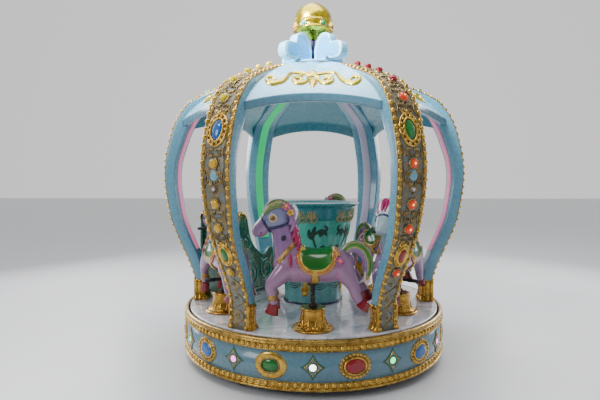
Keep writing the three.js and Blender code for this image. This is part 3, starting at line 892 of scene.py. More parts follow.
def rib_loft(section_at, start=0.0, end=RIB_LENGTH, steps=60):
    """A solid along the rib. section_at(width, depth) gives (across, height over the CAD's face)."""
    rows = []
    for s in np.linspace(start, end, steps):
        r, z, width, depth, out_r, out_z = rib_at(s)
        across, lift = section_at(width, depth).T
        rows.append(np.column_stack([r + out_r * lift, across, z + out_z * lift]))
    corners, faces = skin(rows)
    corners[:, 2] = np.maximum(corners[:, 2], DECK_TOP + 0.3 * MM)
    return corners, faces


def shell_section(width, depth):
    """The blue body: full sides and a soft inner face."""
    outer = width / 2
    inner = outer * INNER_SHARE
    top = 2 * MM - FIELD_DROP
    half = [(0, -depth), (inner, -depth), (outer, -depth * 0.5), (outer, top), (0, top - 4 * MM)]
    return eased(half + [(-x, h) for x, h in half[-2:0:-1]], 10 * MM, 3, loop=True)


def rail_section(side):
    """The gold rail on one edge, which slopes down a little to the outside."""
    def section(width, _):
        outer = width / 2
        inner = outer - RAIL_SHARE * width
        corners = [
            (outer - 2 * MM, -FIELD_DROP - 6 * MM), (outer + 0.6 * MM, -RAIL_DROP - 4 * MM),
            (outer - 5 * MM, -RAIL_DROP + 1 * MM), (inner + 3 * MM, -RAIL_DROP + 2 * MM),
            (inner, -RAIL_DROP - 2 * MM), (inner - 2 * MM, -FIELD_DROP - 8 * MM),
        ]
        return eased(corners, 3 * MM, 2, loop=True) * (side, 1)
    return section


def field_section(width, _):
    """The ground between the rails, a little fuller in the middle."""
    half = width / 2 * (1 - 2 * RAIL_SHARE) + 1 * MM
    across = np.linspace(-half, half, 9)
    top = FIELD_SWELL * (1 - (2 * across / width)**2) - FIELD_DROP
    low = np.full(9, -FIELD_DROP - 6 * MM)
    return np.vstack([np.column_stack([across, top]), np.column_stack([across[::-1], low])])


BOOT_RISE = [(25, 1), (27, 7), (20, 18), (13, 34), (9, 60), (10, 100), (13, 126), (14, 138), (10, 146),
             (2, 150)]
FLUTES = 9


def make_boot():
    """The fluted gold boot round the rib's sides and inner face."""
    radius, _, width, depth = RIB_STATIONS[0]
    outline = eased([
        (radius - 10, -width / 2 * INNER_SHARE), (radius - depth, -width / 2 * INNER_SHARE),
        (radius - depth, width / 2 * INNER_SHARE), (radius - 10, width / 2 * INNER_SHARE),
    ], 20, 8)
    outline = evenly(outline, 73)
    way = unit(np.gradient(outline, axis=0))
    outward = np.column_stack([-way[:, 1], way[:, 0]])
    share = np.linspace(0, 1, len(outline))
    flute = np.abs(np.sin(np.pi * FLUTES * share))
    rows = []
    for proud, rise in BOOT_RISE:
        reach = proud * (0.6 + 0.4 * flute)
        outside = outline + outward * reach[:, None]
        inside = outline[::-1] - outward[::-1] * 4
        rows.append(raised(np.vstack([outside, inside]) * MM, DECK_TOP + rise * MM))
    return skin(rows)


# What stands on a rib's face: the height over the base ring's bottom in metres, then sizes in
# millimetres. Those of round stones are radius and height, those of ovals across and along.
ROUND_STONES = [
    (1.862, 25, 33), (1.823, 25, 33), (1.78, 26, 33), (1.71, 27, 31), (1.60, 28, 27), (1.237, 28, 18),
    (1.02, 28, 18), (0.887, 27, 20), (0.634, 25, 21),
]
UPPER_STONES = 5                  # the first stones, on the roof's part of the rib
SMALL_CRYSTAL = (1.10, 12)
UPPER_OVAL = (1.42, 36, 60)
LOWER_OVAL = (0.733, 22, 42)
PLAQUE = (1.176, 31, 34)
PETALS = 9
FOOT_STEMS = (0.31, 0.59)         # where the winding stems near the foot start and end
ROSETTE_REACH = 12                # how far rosettes and frames reach beyond their stones
CRYSTAL_REACH = 10
FRAME_REACH = 44
LEAST_BAY = 25 * MM               # the shortest stretch that gets carving of its own


def half_field(s):
    return rib_at(s)[2] * (0.5 - RAIL_SHARE)


def both(line):
    return (line, mirrored(line))


def rosette(s, radius):
    """A turned gold cup with petals round it."""
    rim = oval_line(radius + 1, radius + 1, 18) + (0, s)
    parts = [ridge(rim, 5, 12, True, PLAIN_RIDGE)]
    for k in range(PETALS):
        a = TURN * (k + 0.5) / PETALS
        reach = (radius + 9) * MM
        centre = (reach * math.cos(a), s + reach * math.sin(a))
        parts.append(dome(centre, 8, 5, 7, 8, 3, turn=math.degrees(a)))
    return parts


def scroll_bay(low, high):
    """Carving between two stones: mirrored curls by the rails, leaves between them and a rim."""
    gap = high - low
    centre = (low + high) / 2
    half = half_field(centre)
    rim = through([(half * 0.92, low - 12 * MM), (half * 0.76, centre), (half * 0.92, high + 12 * MM)], 5)
    lines = [(rim, 9)]
    for end, flip in ((low, 1), (high, -1)):
        reach = min(half * 0.3, gap * 0.2)
        middle = (half * 0.52, end + flip * (gap * 0.04 + reach))
        eye = arc(middle, reach, -90 * flip, 420 * flip, 0.25, 18)
        root = through([(half * 0.08, end), (half * 0.52, end + flip * gap * 0.04)], 3)
        lines.append((np.vstack([root[:-1], eye]), 15))
        for tip, rise in ((0.5, 0.47), (0.26, 0.45), (0.07, 0.36)):
            leaf = [(half * 0.16, end), (half * (tip + 0.1), end + flip * gap * 0.24),
                    (half * tip, end + flip * gap * rise)]
            lines.append((through(leaf, 4), 8))
    return [stroke(one, 9, 9, 0.5, 0.25, count=count) for line, count in lines for one in both(line)]


def foot_scrolls(start, end, count=3):
    """Thin winding gold stems on the ground near the foot."""
    step = (end - start) / count
    parts = []
    for k in range(count):
        low = start + k * step
        half = half_field(low) * 0.78
        line = through([(-half, low), (half * 0.3, low + step * 0.3), (half, low + step * 0.62),
                        (half * 0.1, low + step)], 8)
        curl = arc((-half * 0.3, low + step * 0.62), half * 0.42, -60, 380, 0.3, 18)
        parts += [stroke(line, 8, 6, 0.6, 0.4, count=24), stroke(curl, 8, 6, 0.6, 0.4, count=18)]
    return parts


def oval_frame(place, across, along, plain):
    """A gold frame round an oval stone, with a scroll cap on it."""
    s = rib_place(place)
    rings = [(across + 6, along + 6, 8, 14), (across + 30, along + 32, 7, 10)]
    if plain:
        rings = [(across + 8, along + 9, 11, 13), (across + 22, along + 24, 6, 9)]
    parts = [ridge(oval_line(a, b) + (0, s), w, h, loop=True) for a, b, w, h in rings]
    top = s + (along + (30 if plain else 44)) * MM
    for side in (-1, 1):
        curl = arc((side * 21 * MM, top), 16 * MM, 90, -side * 400, 0.3, 20)
        parts.append(stroke(curl, 13, 9))
    parts.append(dome((0, top), 8, 15, 12, 12))
    return parts


def make_rib_carving():
    """Gold rosettes, scrolls and oval frames on the ground of a rib."""
    carving = Shape()
    for z, radius in [stone[:2] for stone in ROUND_STONES] + [SMALL_CRYSTAL]:
        carving.lay(on_rib, DULL_GOLD_AND_SHADE, *rosette(rib_place(z), radius))
    edges = [(rib_place(z), (radius + ROSETTE_REACH) * MM) for z, radius, _ in ROUND_STONES]
    edges += [(rib_place(z), (along + FRAME_REACH) * MM) for z, _, along in (UPPER_OVAL, LOWER_OVAL)]
    z, radius = SMALL_CRYSTAL
    edges = sorted(edges + [(rib_place(z), (radius + CRYSTAL_REACH) * MM)])
    for (low, below), (high, above) in zip(edges, edges[1:]):
        if high - low - below - above > LEAST_BAY:
            carving.lay(on_rib, DULL_GOLD_AND_SHADE, *scroll_bay(low + below, high - above))
    carving.lay(on_rib, DULL_GOLD_AND_SHADE, *foot_scrolls(*map(rib_place, FOOT_STEMS)))
    carving.lay(on_rib, GOLD, *oval_frame(*UPPER_OVAL, False), *oval_frame(*LOWER_OVAL, True))
    return carving


def make_rib_stones(upper, lower, round_stone, lit):
    """The stones of one rib. lit lists which round ones are lamps."""
    stones = Shape()
    z, across, along = PLAQUE
    stones.lay(on_rib, LIGHT_BLUE, dome((0, rib_place(z)), across, along, 9, 24))
    for i, (z, radius, tall) in enumerate(ROUND_STONES):
        s = rib_place(z)
        gem = EMBER_STONE if i in lit else round_stone[i >= UPPER_STONES]
        stones.lay(on_rib, gem, cut_stone((0, s), radius, radius, tall), smooth=False)
        if i in lit:
            for reach, rise, glow in ((17, 3, AMBER_LAMP), (9, 5, CORE_LAMP)):
                stones.lay(on_rib, glow, dome((0, s), reach, reach, tall + rise, 14, 4))
    z, radius = SMALL_CRYSTAL
    crystal = cut_stone((0, rib_place(z)), radius, radius, 15, 8)
    stones.lay(on_rib, CLEAR_STONE, crystal, smooth=False)
    for (z, across, along), gem in ((UPPER_OVAL, upper), (LOWER_OVAL, lower)):
        stones.lay(on_rib, gem, dome((0, rib_place(z)), across, along, 17, 28, 6))
    return stones


RIB_STONES = [
    # upper oval, lower oval, round stones, which of them are lit
    (RED_STONE, BLUE_STONE, (GREEN_STONE, GREEN_STONE), ()),
    (BLUE_STONE, GREEN_STONE, (LEMON_STONE, YELLOW_STONE), ()),
    (GREEN_STONE, RED_STONE, (RED_STONE, RED_STONE), ()),
    (RED_STONE, BLUE_STONE, (AQUA_STONE, AQUA_STONE), ()),
    (BLUE_STONE, GREEN_STONE, (LEMON_STONE, YELLOW_STONE), ()),
    (GREEN_STONE, RED_STONE, (RED_STONE, RED_STONE), (4, 5, 6, 7, 8)),
]
STRIP_FINISHES = (LED_PINK, LED_OFF_PAINTED_GLOW, LED_GREEN, LED_PINK, LED_OFF_PAINTED_GLOW, LED_OFF_PAINTED_GLOW)
STRIP_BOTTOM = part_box("led_strip_1")[0].z
STRIP_TAIL = 120 * MM
STRIP_END = 0.872                 # as a share of the rib


def strip_section(_, depth):
    """The light strip on the rib's inner face, with rounded edges."""
    half, thick = 33 * MM, 8 * MM
    section = eased([(-half, 0.3 * MM), (half, 0.3 * MM), (half, thick), (-half, thick)], 3 * MM, 2, True)
    return section * (1, -1) - (0, depth)


def make_ribs():
    shell = Shape().add(rib_loft(shell_section), RIB_SHADE_BLUE)
    shell.add(rib_loft(field_section, 2 * MM, RIB_LENGTH - 2 * MM), FIELD)
    for side in (-1, 1):
        shell.add(rib_loft(rail_section(side)), RAIL_GOLD)
    shell.add(make_boot(), BOOT_GOLD)
    carving = make_rib_carving()
    strip_start = np.interp(STRIP_BOTTOM, RIB[:, 2], RIB[:, 0]) - STRIP_TAIL
    strip = rib_loft(strip_section, strip_start, RIB_LENGTH * STRIP_END)
    r, z, width, _, out_r, out_z = rib_at(np.linspace(15 * MM, RIB_LENGTH - 20 * MM, 160))
    sunk = BEAD_RADIUS * MM
    edges = [np.column_stack([r - out_r * sunk, side * (width / 2 - sunk), z - out_z * sunk])
             for side in (-1, 1)]
    place, across, along = UPPER_OVAL
    oval_beads = oval_line(across + 19, along + 20, 60) + (0, rib_place(place))
    oval_beads = on_rib(raised(oval_beads, 4 * MM))
    for i in range(BAYS):
        angle = BAY_DEGREES * i
        name = f"rib_{i + 1}"
        piece(name + "_shell", shell.copy_spun(angle), "light_blue_shell", name)
        piece(name + "_carving", carving.copy_spun(angle), "gold_paint")
        piece(name + "_stones", make_rib_stones(*RIB_STONES[i]).copy_spun(angle), "gold_paint")
        beading(name + "_beads", [(spun(edge, angle), False) for edge in edges], BEAD_SPACING, BEAD_RADIUS)
        beading(name + "_oval_beads", [(spun(oval_beads, angle), True)], OVAL_BEAD_SPACING, OVAL_BEAD)
        light = Shape().add(strip, STRIP_FINISHES[i]).copy_spun(angle)
        piece(f"light_strip_{i + 1}", light, "light_diffuser", f"led_strip_{i + 1}")


# The roof panels, built in the bay that faces +X and turned to their places

PANEL_LINE = through(np.array([
    (100, 2003), (250, 1972), (400, 1915), (600, 1802), (700, 1735), (780, 1680), (850, 1622), (900, 1572),
]) * MM, 20)
PANEL_START = 148 * MM
EAVE_MIDDLE = 0.78
EAVE_CURL = 0.5
EAVE_DEPTH = 45 * MM
EAVE_WIDTH = 34 * MM
PANEL_THICKNESS = 14 * MM


def panel_height(forward):
    return np.interp(forward, PANEL_LINE[:, 0], PANEL_LINE[:, 1])


ROOF_FOOT = 1.45
ROOF_RIB = RIB[RIB[:, 2] > ROOF_FOOT]
ROOF_RIB = ROOF_RIB[np.argsort(ROOF_RIB[:, 1])]
SOLVER_STEPS = 12


def rib_side(forward):
    """How far off mid bay the rib's side lies at a distance forward."""
    off = np.asarray(forward) * math.tan(math.radians(22))
    for _ in range(SOLVER_STEPS):
        along_rib = forward * math.cos(math.pi / 6) + off * 0.5
        half = np.interp(along_rib, ROOF_RIB[:, 1], ROOF_RIB[:, 3]) / 2 - 4 * MM
        off = (forward * 0.5 - half) / math.cos(math.pi / 6)
    return np.maximum(off, 1 * MM)


def panel_point(share, across):
    """A point of the panel's top: share runs from the hub to the eave, across from side to side."""
    forward = PANEL_START + share * (EAVE_MIDDLE - PANEL_START)
    for _ in range(SOLVER_STEPS):
        off = across * rib_side(forward)
        eave = EAVE_MIDDLE + EAVE_CURL * off**2
        forward = PANEL_START + share * (eave - PANEL_START)
    return forward, across * rib_side(forward)


PANEL_RISE = 45 * MM              # how much higher the panel's top lies beside the ribs
RISE_PEAK = 0.676                 # the largest value of share * (1 - share**8)


def side_rise(share, across):
    """The top's rise over its height in mid bay: most beside the ribs, none at the hub and the eave."""
    return PANEL_RISE * across**2 * share * (1 - share**8) / RISE_PEAK


def on_panel(corners):
    """The panel's top: across, distance forward, height."""
    off, forward = corners[:, 0], corners[:, 1]
    eave = EAVE_MIDDLE + EAVE_CURL * off**2
    rise = side_rise((forward - PANEL_START) / (eave - PANEL_START), off / rib_side(forward))
    return np.column_stack([forward, -off, panel_height(forward) + rise + corners[:, 2]])


ROOF_STOPS = 22
FASCIA_STOPS = 6
UNDER_STOPS = 18


def panel_row(across):
    """One slice of the panel from the hub over the eave and back under it."""
    forward, off = panel_point(np.linspace(0, 1, ROOF_STOPS), across)
    rise = side_rise(np.linspace(0, 1, ROOF_STOPS), across)
    top = np.column_stack([forward, off, panel_height(forward) + rise])
    edge, edge_off = forward[-1], off[-1]
    roof = panel_height(edge)
    low = roof - EAVE_DEPTH
    fascia = [
        (edge + 3 * MM, edge_off, roof - 5 * MM), (edge, edge_off, roof - 12 * MM),
        (edge, edge_off, low + 4 * MM), (edge - 4 * MM, edge_off, low),
        (edge - EAVE_WIDTH + 4 * MM, edge_off, low), (edge - EAVE_WIDTH, edge_off, low + 4 * MM),
    ]
    inside = 1 - (EAVE_WIDTH + 3 * MM) / (edge - PANEL_START)
    under, under_off = panel_point(np.linspace(inside, 0, UNDER_STOPS), across)
    under = np.column_stack([under, under_off, panel_height(under) - PANEL_THICKNESS])
    return np.vstack([top, fascia, under])


def make_panel_shell(columns=41):
    """The panel: a white-blue top as painted light, and a slate-blue eave and a darker ceiling as painted
    shade.
    """
    rows = [panel_row(across) for across in np.linspace(-1, 1, columns)]
    corners, (sides, start, end) = skin(rows)
    sides = sides.reshape(columns - 1, -1, 4)
    eave = ROOF_STOPS - 1 + FASCIA_STOPS
    shell = Shape().add((corners, [sides[:, :ROOF_STOPS - 1].reshape(-1, 4)]), PALE_LIT_BLUE)
    shell.add((corners, [sides[:, ROOF_STOPS - 1:eave].reshape(-1, 4)]), EAVE_SHADE_BLUE)
    shell.add((corners, [sides[:, eave:].reshape(-1, 4), start, end]), CEILING_SHADE_BLUE)
    return shell


SCROLL_BASE = 658                 # the panel scrolls' distance forward of the axis, in millimetres


def make_panel_carving():
    """The gold scrolls of a panel: four mirrored pairs, with a bar and five bosses between them."""
    carving = Shape()
    inner = np.vstack([through(at((6, -32), (24, -22), (46, 12)), 6),
                       arc((82 * MM, -3 * MM), 34 * MM, 150, -350, 0.7, 26)[1:]])
    outer = np.vstack([through(at((128, -94), (144, -58), (156, -14), (182, 36)), 6),
                       arc((237 * MM, 36 * MM), 33 * MM, 125, -320, 0.7, 26)[1:]])
    arch = through(at((0, -80), (45, -100), (92, -106), (138, -86)), 6)
    leaf = at((122, -44), (60, -72))
    for line, width, height in ((inner, 30, 19), (outer, 30, 19), (arch, 26, 16), (leaf, 16, 12)):
        line = np.array(line) + (0, SCROLL_BASE * MM)
        for flat in both(line):
            curl = stroke(flat, width, height, 0.5, 0.45, 0.5, 36, ROUND_RIDGE)
            carving.lay(on_panel, SCROLL_GOLD, curl)
    bar = through(at((-42, SCROLL_BASE - 48), (0, SCROLL_BASE - 68), (42, SCROLL_BASE - 48)), 6)
    carving.lay(on_panel, SCROLL_GOLD, stroke(bar, 16, 16, 0.5, 0.5, 0.5, 14))
    for x, y, across, along, height in ((0, 8, 24, 38, 20), (0, 54, 10, 16, 11), (0, -128, 26, 32, 15),
                                        (-36, -116, 18, 16, 12), (36, -116, 18, 16, 12)):
        knob = dome((x * MM, (SCROLL_BASE + y) * MM), across, along, height)
        carving.lay(on_panel, SCROLL_GOLD, knob)
    return carving


def make_roof():
    shell = make_panel_shell()
    carving = make_panel_carving()
    for i in range(BAYS):
        angle = BAY_DEGREES * (i + 0.5)
        name = f"roof_panel_{i + 1}"
        piece(name + "_shell", shell.copy_spun(angle), "light_blue_shell", name)
        piece(name + "_scrolls", carving.copy_spun(angle), "gold_paint")


# The hub and the finial

BRACKET_OUTLINE = [
    (46, 2029), (140, 2029), (156, 2036), (168, 2052), (190, 2032), (236, 2027), (288, 2036), (305, 2084),
    (290, 2130), (248, 2143), (214, 2144), (200, 2150), (190, 2195), (136, 2221), (92, 2208), (46, 2124),
]
BAND_RADIUS = 136 * MM            # the hollow band round the ball, which carries the stones
BAND_HEIGHT = 2285 * MM


def make_finial():
    hub_line = [(0, 1916), (128, 1916), (149, 1932), (149, 2014), (162, 2018), (160, HUB_TOP / MM),
                (0, HUB_TOP / MM)]
    hub = Shape().add(lathed(hub_line, 5, 96, steps=3), PALE_LIT_BLUE)
    piece("crown_hub_cap", hub, "light_blue_shell", "crown_hub")
    brackets = Shape()
    outline = through(np.array(BRACKET_OUTLINE + BRACKET_OUTLINE[:1]) * MM, 6)[:-1]
    inner = outline + (outline.mean(0) - outline) * 0.2
    for line, low, high, edge, finish in (
        (outline, -37, 37, 9, PALE_LIT_BLUE), (inner, 30, 38.5, 3, INSET_SHADE_BLUE),
        (inner, -38.5, -30, 3, INSET_SHADE_BLUE),
    ):
        corners, faces = upright_plate(line, low * MM, high * MM, edge * MM)
        for k in range(4):
            brackets.add((spun(corners, 45 + 90 * k), faces), finish)
    collar = [(20, 2028.4), (62, 2028.4), (60, 2040), (20, 2042)]
    brackets.add(lathed(collar, 3, 48, ring=True), PALE_LIT_BLUE)
    piece("finial_bracket_set", brackets, "light_blue_shell", "finial_brackets")
    profile = [(0, 2196.6), (12, 2197), (30, 2212), (62, 2236), (104, 2238), (122, 2246), (133, 2256)]
    band = [(141, 2259), (142, 2266), (136, 2271), (135, 2285), (136, 2300), (142, 2305), (142, 2312),
            (138, 2315)]
    start = math.asin((band[-1][1] * MM - BALL_CENTRE) / BALL_RADIUS)
    cap = [(BALL_RADIUS / MM * math.cos(a), (BALL_CENTRE + BALL_RADIUS * math.sin(a)) / MM)
           for a in np.linspace(start, math.pi / 2, 18)]
    cap[-1] = (0, cap[-1][1])
    ball = Shape().add(turned(np.array(profile + band + cap) * MM, 96), BALL_GOLD)
    for k, gem in enumerate((GREEN_STONE, CLEAR_STONE, RED_STONE, YELLOW_STONE, RED_STONE, AQUA_STONE)):
        on_band = round_face(VIEW_ANGLE + 31 + 60 * k, BAND_RADIUS, BAND_HEIGHT)
        ball.lay(on_band, GOLD, ridge(arc((0, 0), 22 * MM, 0, 345, 1, 24), 5, 9, loop=True))
        ball.lay(on_band, gem, dome((0, 0), 20, 20, 17))
    piece("finial_globe", ball, "gold_paint", "finial_ball")


# The centre barrel

DRUM = [(0, 334.6), (199, 334.6), (204, 345), (206, 400), (210, 500), (218, 620), (236, 730), (262, 830),
        (279, 915), (279, 925.6), (0, 925.6)]
BARREL_RIM = [(0, 926.6), (282, 926.6), (288, 934), (293, 968), (298, 1004), (303, 1012), (330, 1026),
              (335, 1033), (331, 1040), (322, 1039), (296, 1026), (286, 1022), (0, 1021)]


def barrel_radius(height):
    line = np.array(DRUM[2:-2] + BARREL_RIM[2:6], float) * MM
    return np.interp(height, line[:, 1], line[:, 0])


def on_barrel(angle):
    """The barrel's face about a plan angle."""
    return round_face(angle, barrel_radius)


def flat_paint(line, width, count, **ends):
    """A thin painted stroke."""
    return stroke(line, width, 1.6, count=count, **ends)


def green_sprig(side):
    """A dark green leafy scroll, as painted on the barrel."""
    lines = [
        ([(0, 734), (-14, 775), (-22, 802), (-30, 822)], 17, 0.8, 1.0),
        ([(-27, 806), (-49, 832), (-50, 866)], 32, 0.8, 0.4),
        ([(-26, 800), (-44, 812), (-60, 827)], 26, 0.8, 0.3),
        ([(-24, 806), (-19, 850), (-8, 884)], 36, 0.8, 0.5),
        ([(-34, 808), (-31, 832), (-32, 846)], 30, 0.8, 0.5),
        ([(-16, 824), (10, 847), (34, 858), (60, 851)], 23, 0.6, 1.0),
        ([(58, 850), (74, 864), (67, 882), (51, 885)], 23, 0.8, 0.5),
        ([(52, 852), (64, 838), (75, 818)], 26, 0.8, 0.2),
        ([(36, 856), (44, 838), (38, 822)], 28, 0.7, 0.4),
        ([(14, 850), (26, 830), (27, 810)], 28, 0.7, 0.5),
        ([(25, 733), (41, 742), (66, 748)], 24, 0.6, 0.3),
        ([(-48, 742), (-30, 733), (-12, 728)], 8, 0.5, 0.4),
    ]
    strokes = [flat_paint(through(at(*line), 6), width, start=start, end=end, count=14)
               for line, width, start, end in lines]
    return [(part[0] * (side, 1, 1), part[1]) for part in strokes]


QUARTERS = 4
HOOPS = 4                         # painted half hoops, one in another, beside the gold leaves
HOOPS_OFF = 98 * MM
HOOPS_HEIGHT = 0.52
UPPER_AXIS = VIEW_ANGLE + 30      # the painted scrolls are mirrored about these plan angles
LOWER_AXIS = VIEW_ANGLE - 15


def make_barrel():
    drum = Shape().add(lathed(DRUM, 2, 108), BARREL_PAINT)
    for k in range(QUARTERS):
        for side in (-1, 1):
            face = on_barrel(UPPER_AXIS + 90 * k + side * 25)
            drum.lay(face, LEAF_GREEN, *green_sprig(-side))
        face = on_barrel(LOWER_AXIS + 90 * k)
        drum.lay(face, GOLD, stroke([(0, 0.40), (0, 0.52)], 36, 6, 0.3, 0.1, 0.3, 16))
        drum.lay(face, GOLD, dome((0, 0.405), 26, 11, 7))
        for side in (-1, 1):
            for root, tip, width in ((0.415, 0.47, 17), (0.43, 0.505, 13)):
                wing = through([(side * 8 * MM, root), (side * 25 * MM, (root + tip) / 2 - 0.006),
                                (side * 21 * MM, tip)], 6)
                drum.lay(face, GOLD, stroke(wing, width, 5))
            for step in range(HOOPS):
                reach = (28 + 16 * step) * MM
                start = 180 if side > 0 else 0
                hoop = arc((side * HOOPS_OFF, HOOPS_HEIGHT), reach, start + side * 8, side * 140, 1.0, 20)
                drum.lay(face, DARK_GREEN, flat_paint(hoop, 10, start=0.5, end=0.5, count=16))
    # The navy ring at the barrel's foot is partly a dark joint line and partly painted shade where the
    # barrel meets the deck.
    drum.add(lathed([(200, 335), (214, 335), (214, 343), (205, 347)], 2, 108, ring=True), NAVY)
    piece("barrel_shell", drum, "teal_shell", "barrel_drum")
    piece("barrel_lip", Shape().add(lathed(BARREL_RIM, 4, 128), CYAN), "teal_shell", "barrel_rim")
    garland = Shape()
    for step in (-1.5, -0.5, 0.5, 1.5):
        face = on_barrel(UPPER_AXIS + 35 + 15.5 * step)
        for side in (-1, 1):
            scroll = np.vstack([
                through(at((side * 2, 916), (side * 22, 912), (side * 38, 926)), 4)[:-1],
                arc((side * 28 * MM, 0.938), 12 * MM, 0 if side > 0 else 180, side * 330, 0.4, 12),
            ])
            garland.lay(face, GOLD, stroke(scroll, 14, 6, 0.6, 0.4, count=16))
            for tip, rise in ((13, 998), (27, 990), (37, 968)):
                bend = (side * tip * 0.7, (934 + rise) / 2)
                frond = through(at((side * 3, 934), bend, (side * tip, rise)), 4)
                garland.lay(face, GOLD, stroke(frond, 14, 5, 0.5, 0.3, count=9))
        garland.lay(face, GOLD, stroke(at((0, 908), (0, 1000)), 20, 8, 0.3, 0.08, 0.4, 10))
    band = grown("barrel_leaf_band", garland.mesh("garland_source"), RING, Count=QUARTERS, Finish=OCHRE)
    piece("barrel_leaf_band", band, "gold_paint")


# Horses. One is built facing +X over the pole on the Z axis, and then set on the circle.

HORSE_PLACES = [(270, 705), (330, 655), (30, 645), (90, 680), (210, 680)]
CHARIOT_PLACE = (150, 680)


def stand(corners, place):
    """Turns what faces +X so that it faces clockwise, and moves it to its place."""
    degrees, radius = place
    a = math.radians(degrees)
    return spun(corners, degrees - 90) + np.array([math.cos(a), math.sin(a), 0]) * radius * MM


def stand_shape(shape, place, finish_of=None):
    return shape.moved(lambda corners: stand(corners, place), finish_of)


TRUNK = np.array([
    (-222, 0, 736, 46, 40), (-206, 0, 728, 80, 68), (-170, 0, 716, 99, 90), (-110, 0, 704, 105, 96),
    (-20, 0, 699, 104, 96), (60, 0, 699, 104, 97), (120, 0, 703, 101, 97), (172, 0, 716, 84, 92),
    (206, 0, 724, 44, 56),
], float) * MM
NECK = np.array([
    (120, 0, 730, 84, 90), (150, 0, 800, 68, 80), (163, 0, 860, 57, 70), (180, 0, 930, 50, 62),
    (190, 0, 985, 46, 58),
], float) * MM
HEAD = np.array([
    (146, 0, 1022, 40, 42), (194, 0, 1000, 64, 68), (240, 0, 968, 64, 64), (276, 0, 938, 52, 50),
    (304, 0, 911, 46, 46), (322, 0, 898, 41, 41), (334, 0, 890, 31, 30),
], float) * MM
LEGS = np.array([
    [(150, 52, 690, 52, 62), (198, 58, 640, 42, 50), (237, 60, 592, 32, 37), (228, 60, 532, 25, 27),
     (222, 60, 492, 23, 25)],
    [(142, -52, 690, 52, 62), (190, -58, 646, 42, 50), (234, -60, 602, 32, 36), (234, -60, 540, 25, 27),
     (226, -60, 488, 24, 27)],
    [(-160, 54, 704, 52, 70), (-196, 58, 650, 44, 54), (-226, 60, 600, 33, 39), (-250, 60, 530, 26, 29),
     (-262, 60, 512, 24, 27)],
    [(-160, -54, 704, 52, 70), (-200, -58, 668, 44, 54), (-240, -60, 636, 33, 39), (-276, -60, 590, 26, 29),
     (-302, -60, 548, 25, 28)],
], float) * MM
# Each hoof: where it starts and where its sole ends
HOOVES = np.array([
    [(221, 60, 488), (236, 60, 434)], [(226, -60, 494), (232, -60, 438)],
    [(-302, 60, 506), (-276, 60, 466)], [(-302, -60, 548), (-332, -60, 492)],
], float) * MM
PAIRED_FORMS = [                  # the sides of the limb and its stations
    (14, (182, 34, 1040, 18, 12), (176, 40, 1060, 14, 9), (172, 42, 1076, 4, 3)),
    (14, (214, 36, 962, 26, 34), (240, 38, 948, 24, 28)),
    (16, (-150, 40, 742, 52, 50), (-110, 44, 728, 48, 50)),
    (16, (150, 42, 726, 46, 52), (176, 34, 716, 44, 50)),
]
VOXEL = 8 * MM


def sculpt():
    """The horse's body as one smooth skin over its joined limbs."""
    clay = Shape()
    for stations in (TRUNK, NECK, HEAD, *LEGS):
        clay.add(limb(stations, 24, 6), PEARL)
    for side in (-1, 1):
        for sides, *stations in PAIRED_FORMS:
            clay.add_limb(sided(side, stations), PEARL, sides, 5)
    block = placed("clay", clay.mesh("clay"))
    remesh = block.modifiers.new("join", "REMESH")
    remesh.mode = "VOXEL"
    remesh.voxel_size = VOXEL
    smooth = block.modifiers.new("soften", "SMOOTH")
    smooth.factor = 0.5
    smooth.iterations = 5
    made = evaluated(block)
    bpy.data.objects.remove(block)
    return made


def mesh_part(mesh):
    """A mesh's corners and faces."""
    def read(collection, key, kind=np.int32, width=1):
        values = np.empty(len(collection) * width, kind)
        collection.foreach_get(key, values)
        return values

    loops = read(mesh.loops, "vertex_index")
    starts, sizes = (read(mesh.polygons, key) for key in ("loop_start", "loop_total"))
    faces = [loops[starts[sizes == size][:, None] + np.arange(size)] for size in np.unique(sizes)]
    return read(mesh.vertices, "co", np.float32, 3).reshape(-1, 3).astype(float), faces


def ramped(value, low, high):
    """0 below low, 1 above high and smooth between."""
    w = np.clip((value - low) / (high - low), 0, 1)
    return w * w * (3 - 2 * w)


def beyond(corners, start, end, soft=3 * MM):
    """How far corners lie to the left of a line in the X-Z plane, as a soft mask."""
    (ax, az), (bx, bz) = np.array(start) * MM, np.array(end) * MM
    way = unit(np.array([bx - ax, bz - az]))
    off = (corners[:, 0] - ax) * -way[1] + (corners[:, 2] - az) * way[0]
    return ramped(off, -soft, soft)


NOSEBAND = ((244, 885), (285, 964))
CHEEK_STRAP = ((254, 921), (130, 962))


def coat_colours(corners, coat):
    """The horse's colour at each corner: body, neck, head and muzzle."""
    body, neck, head, muzzle = (np.array(colour) for colour in coat)
    x, z = corners[:, 0], corners[:, 2]
    share = ramped(z, 0.74, 0.86) * ramped(x, 0.06, 0.14)
    colour = body + (neck - body) * share[:, None]
    on_head = beyond(corners, *CHEEK_STRAP[::-1])
    colour = colour + (head - colour) * on_head[:, None]
    on_muzzle = 1 - beyond(corners, *NOSEBAND)
    on_muzzle = on_muzzle * ramped(z, 0.85, 0.86) * ramped(x, 0.24, 0.25)
    return colour + (muzzle - colour) * on_muzzle[:, None]


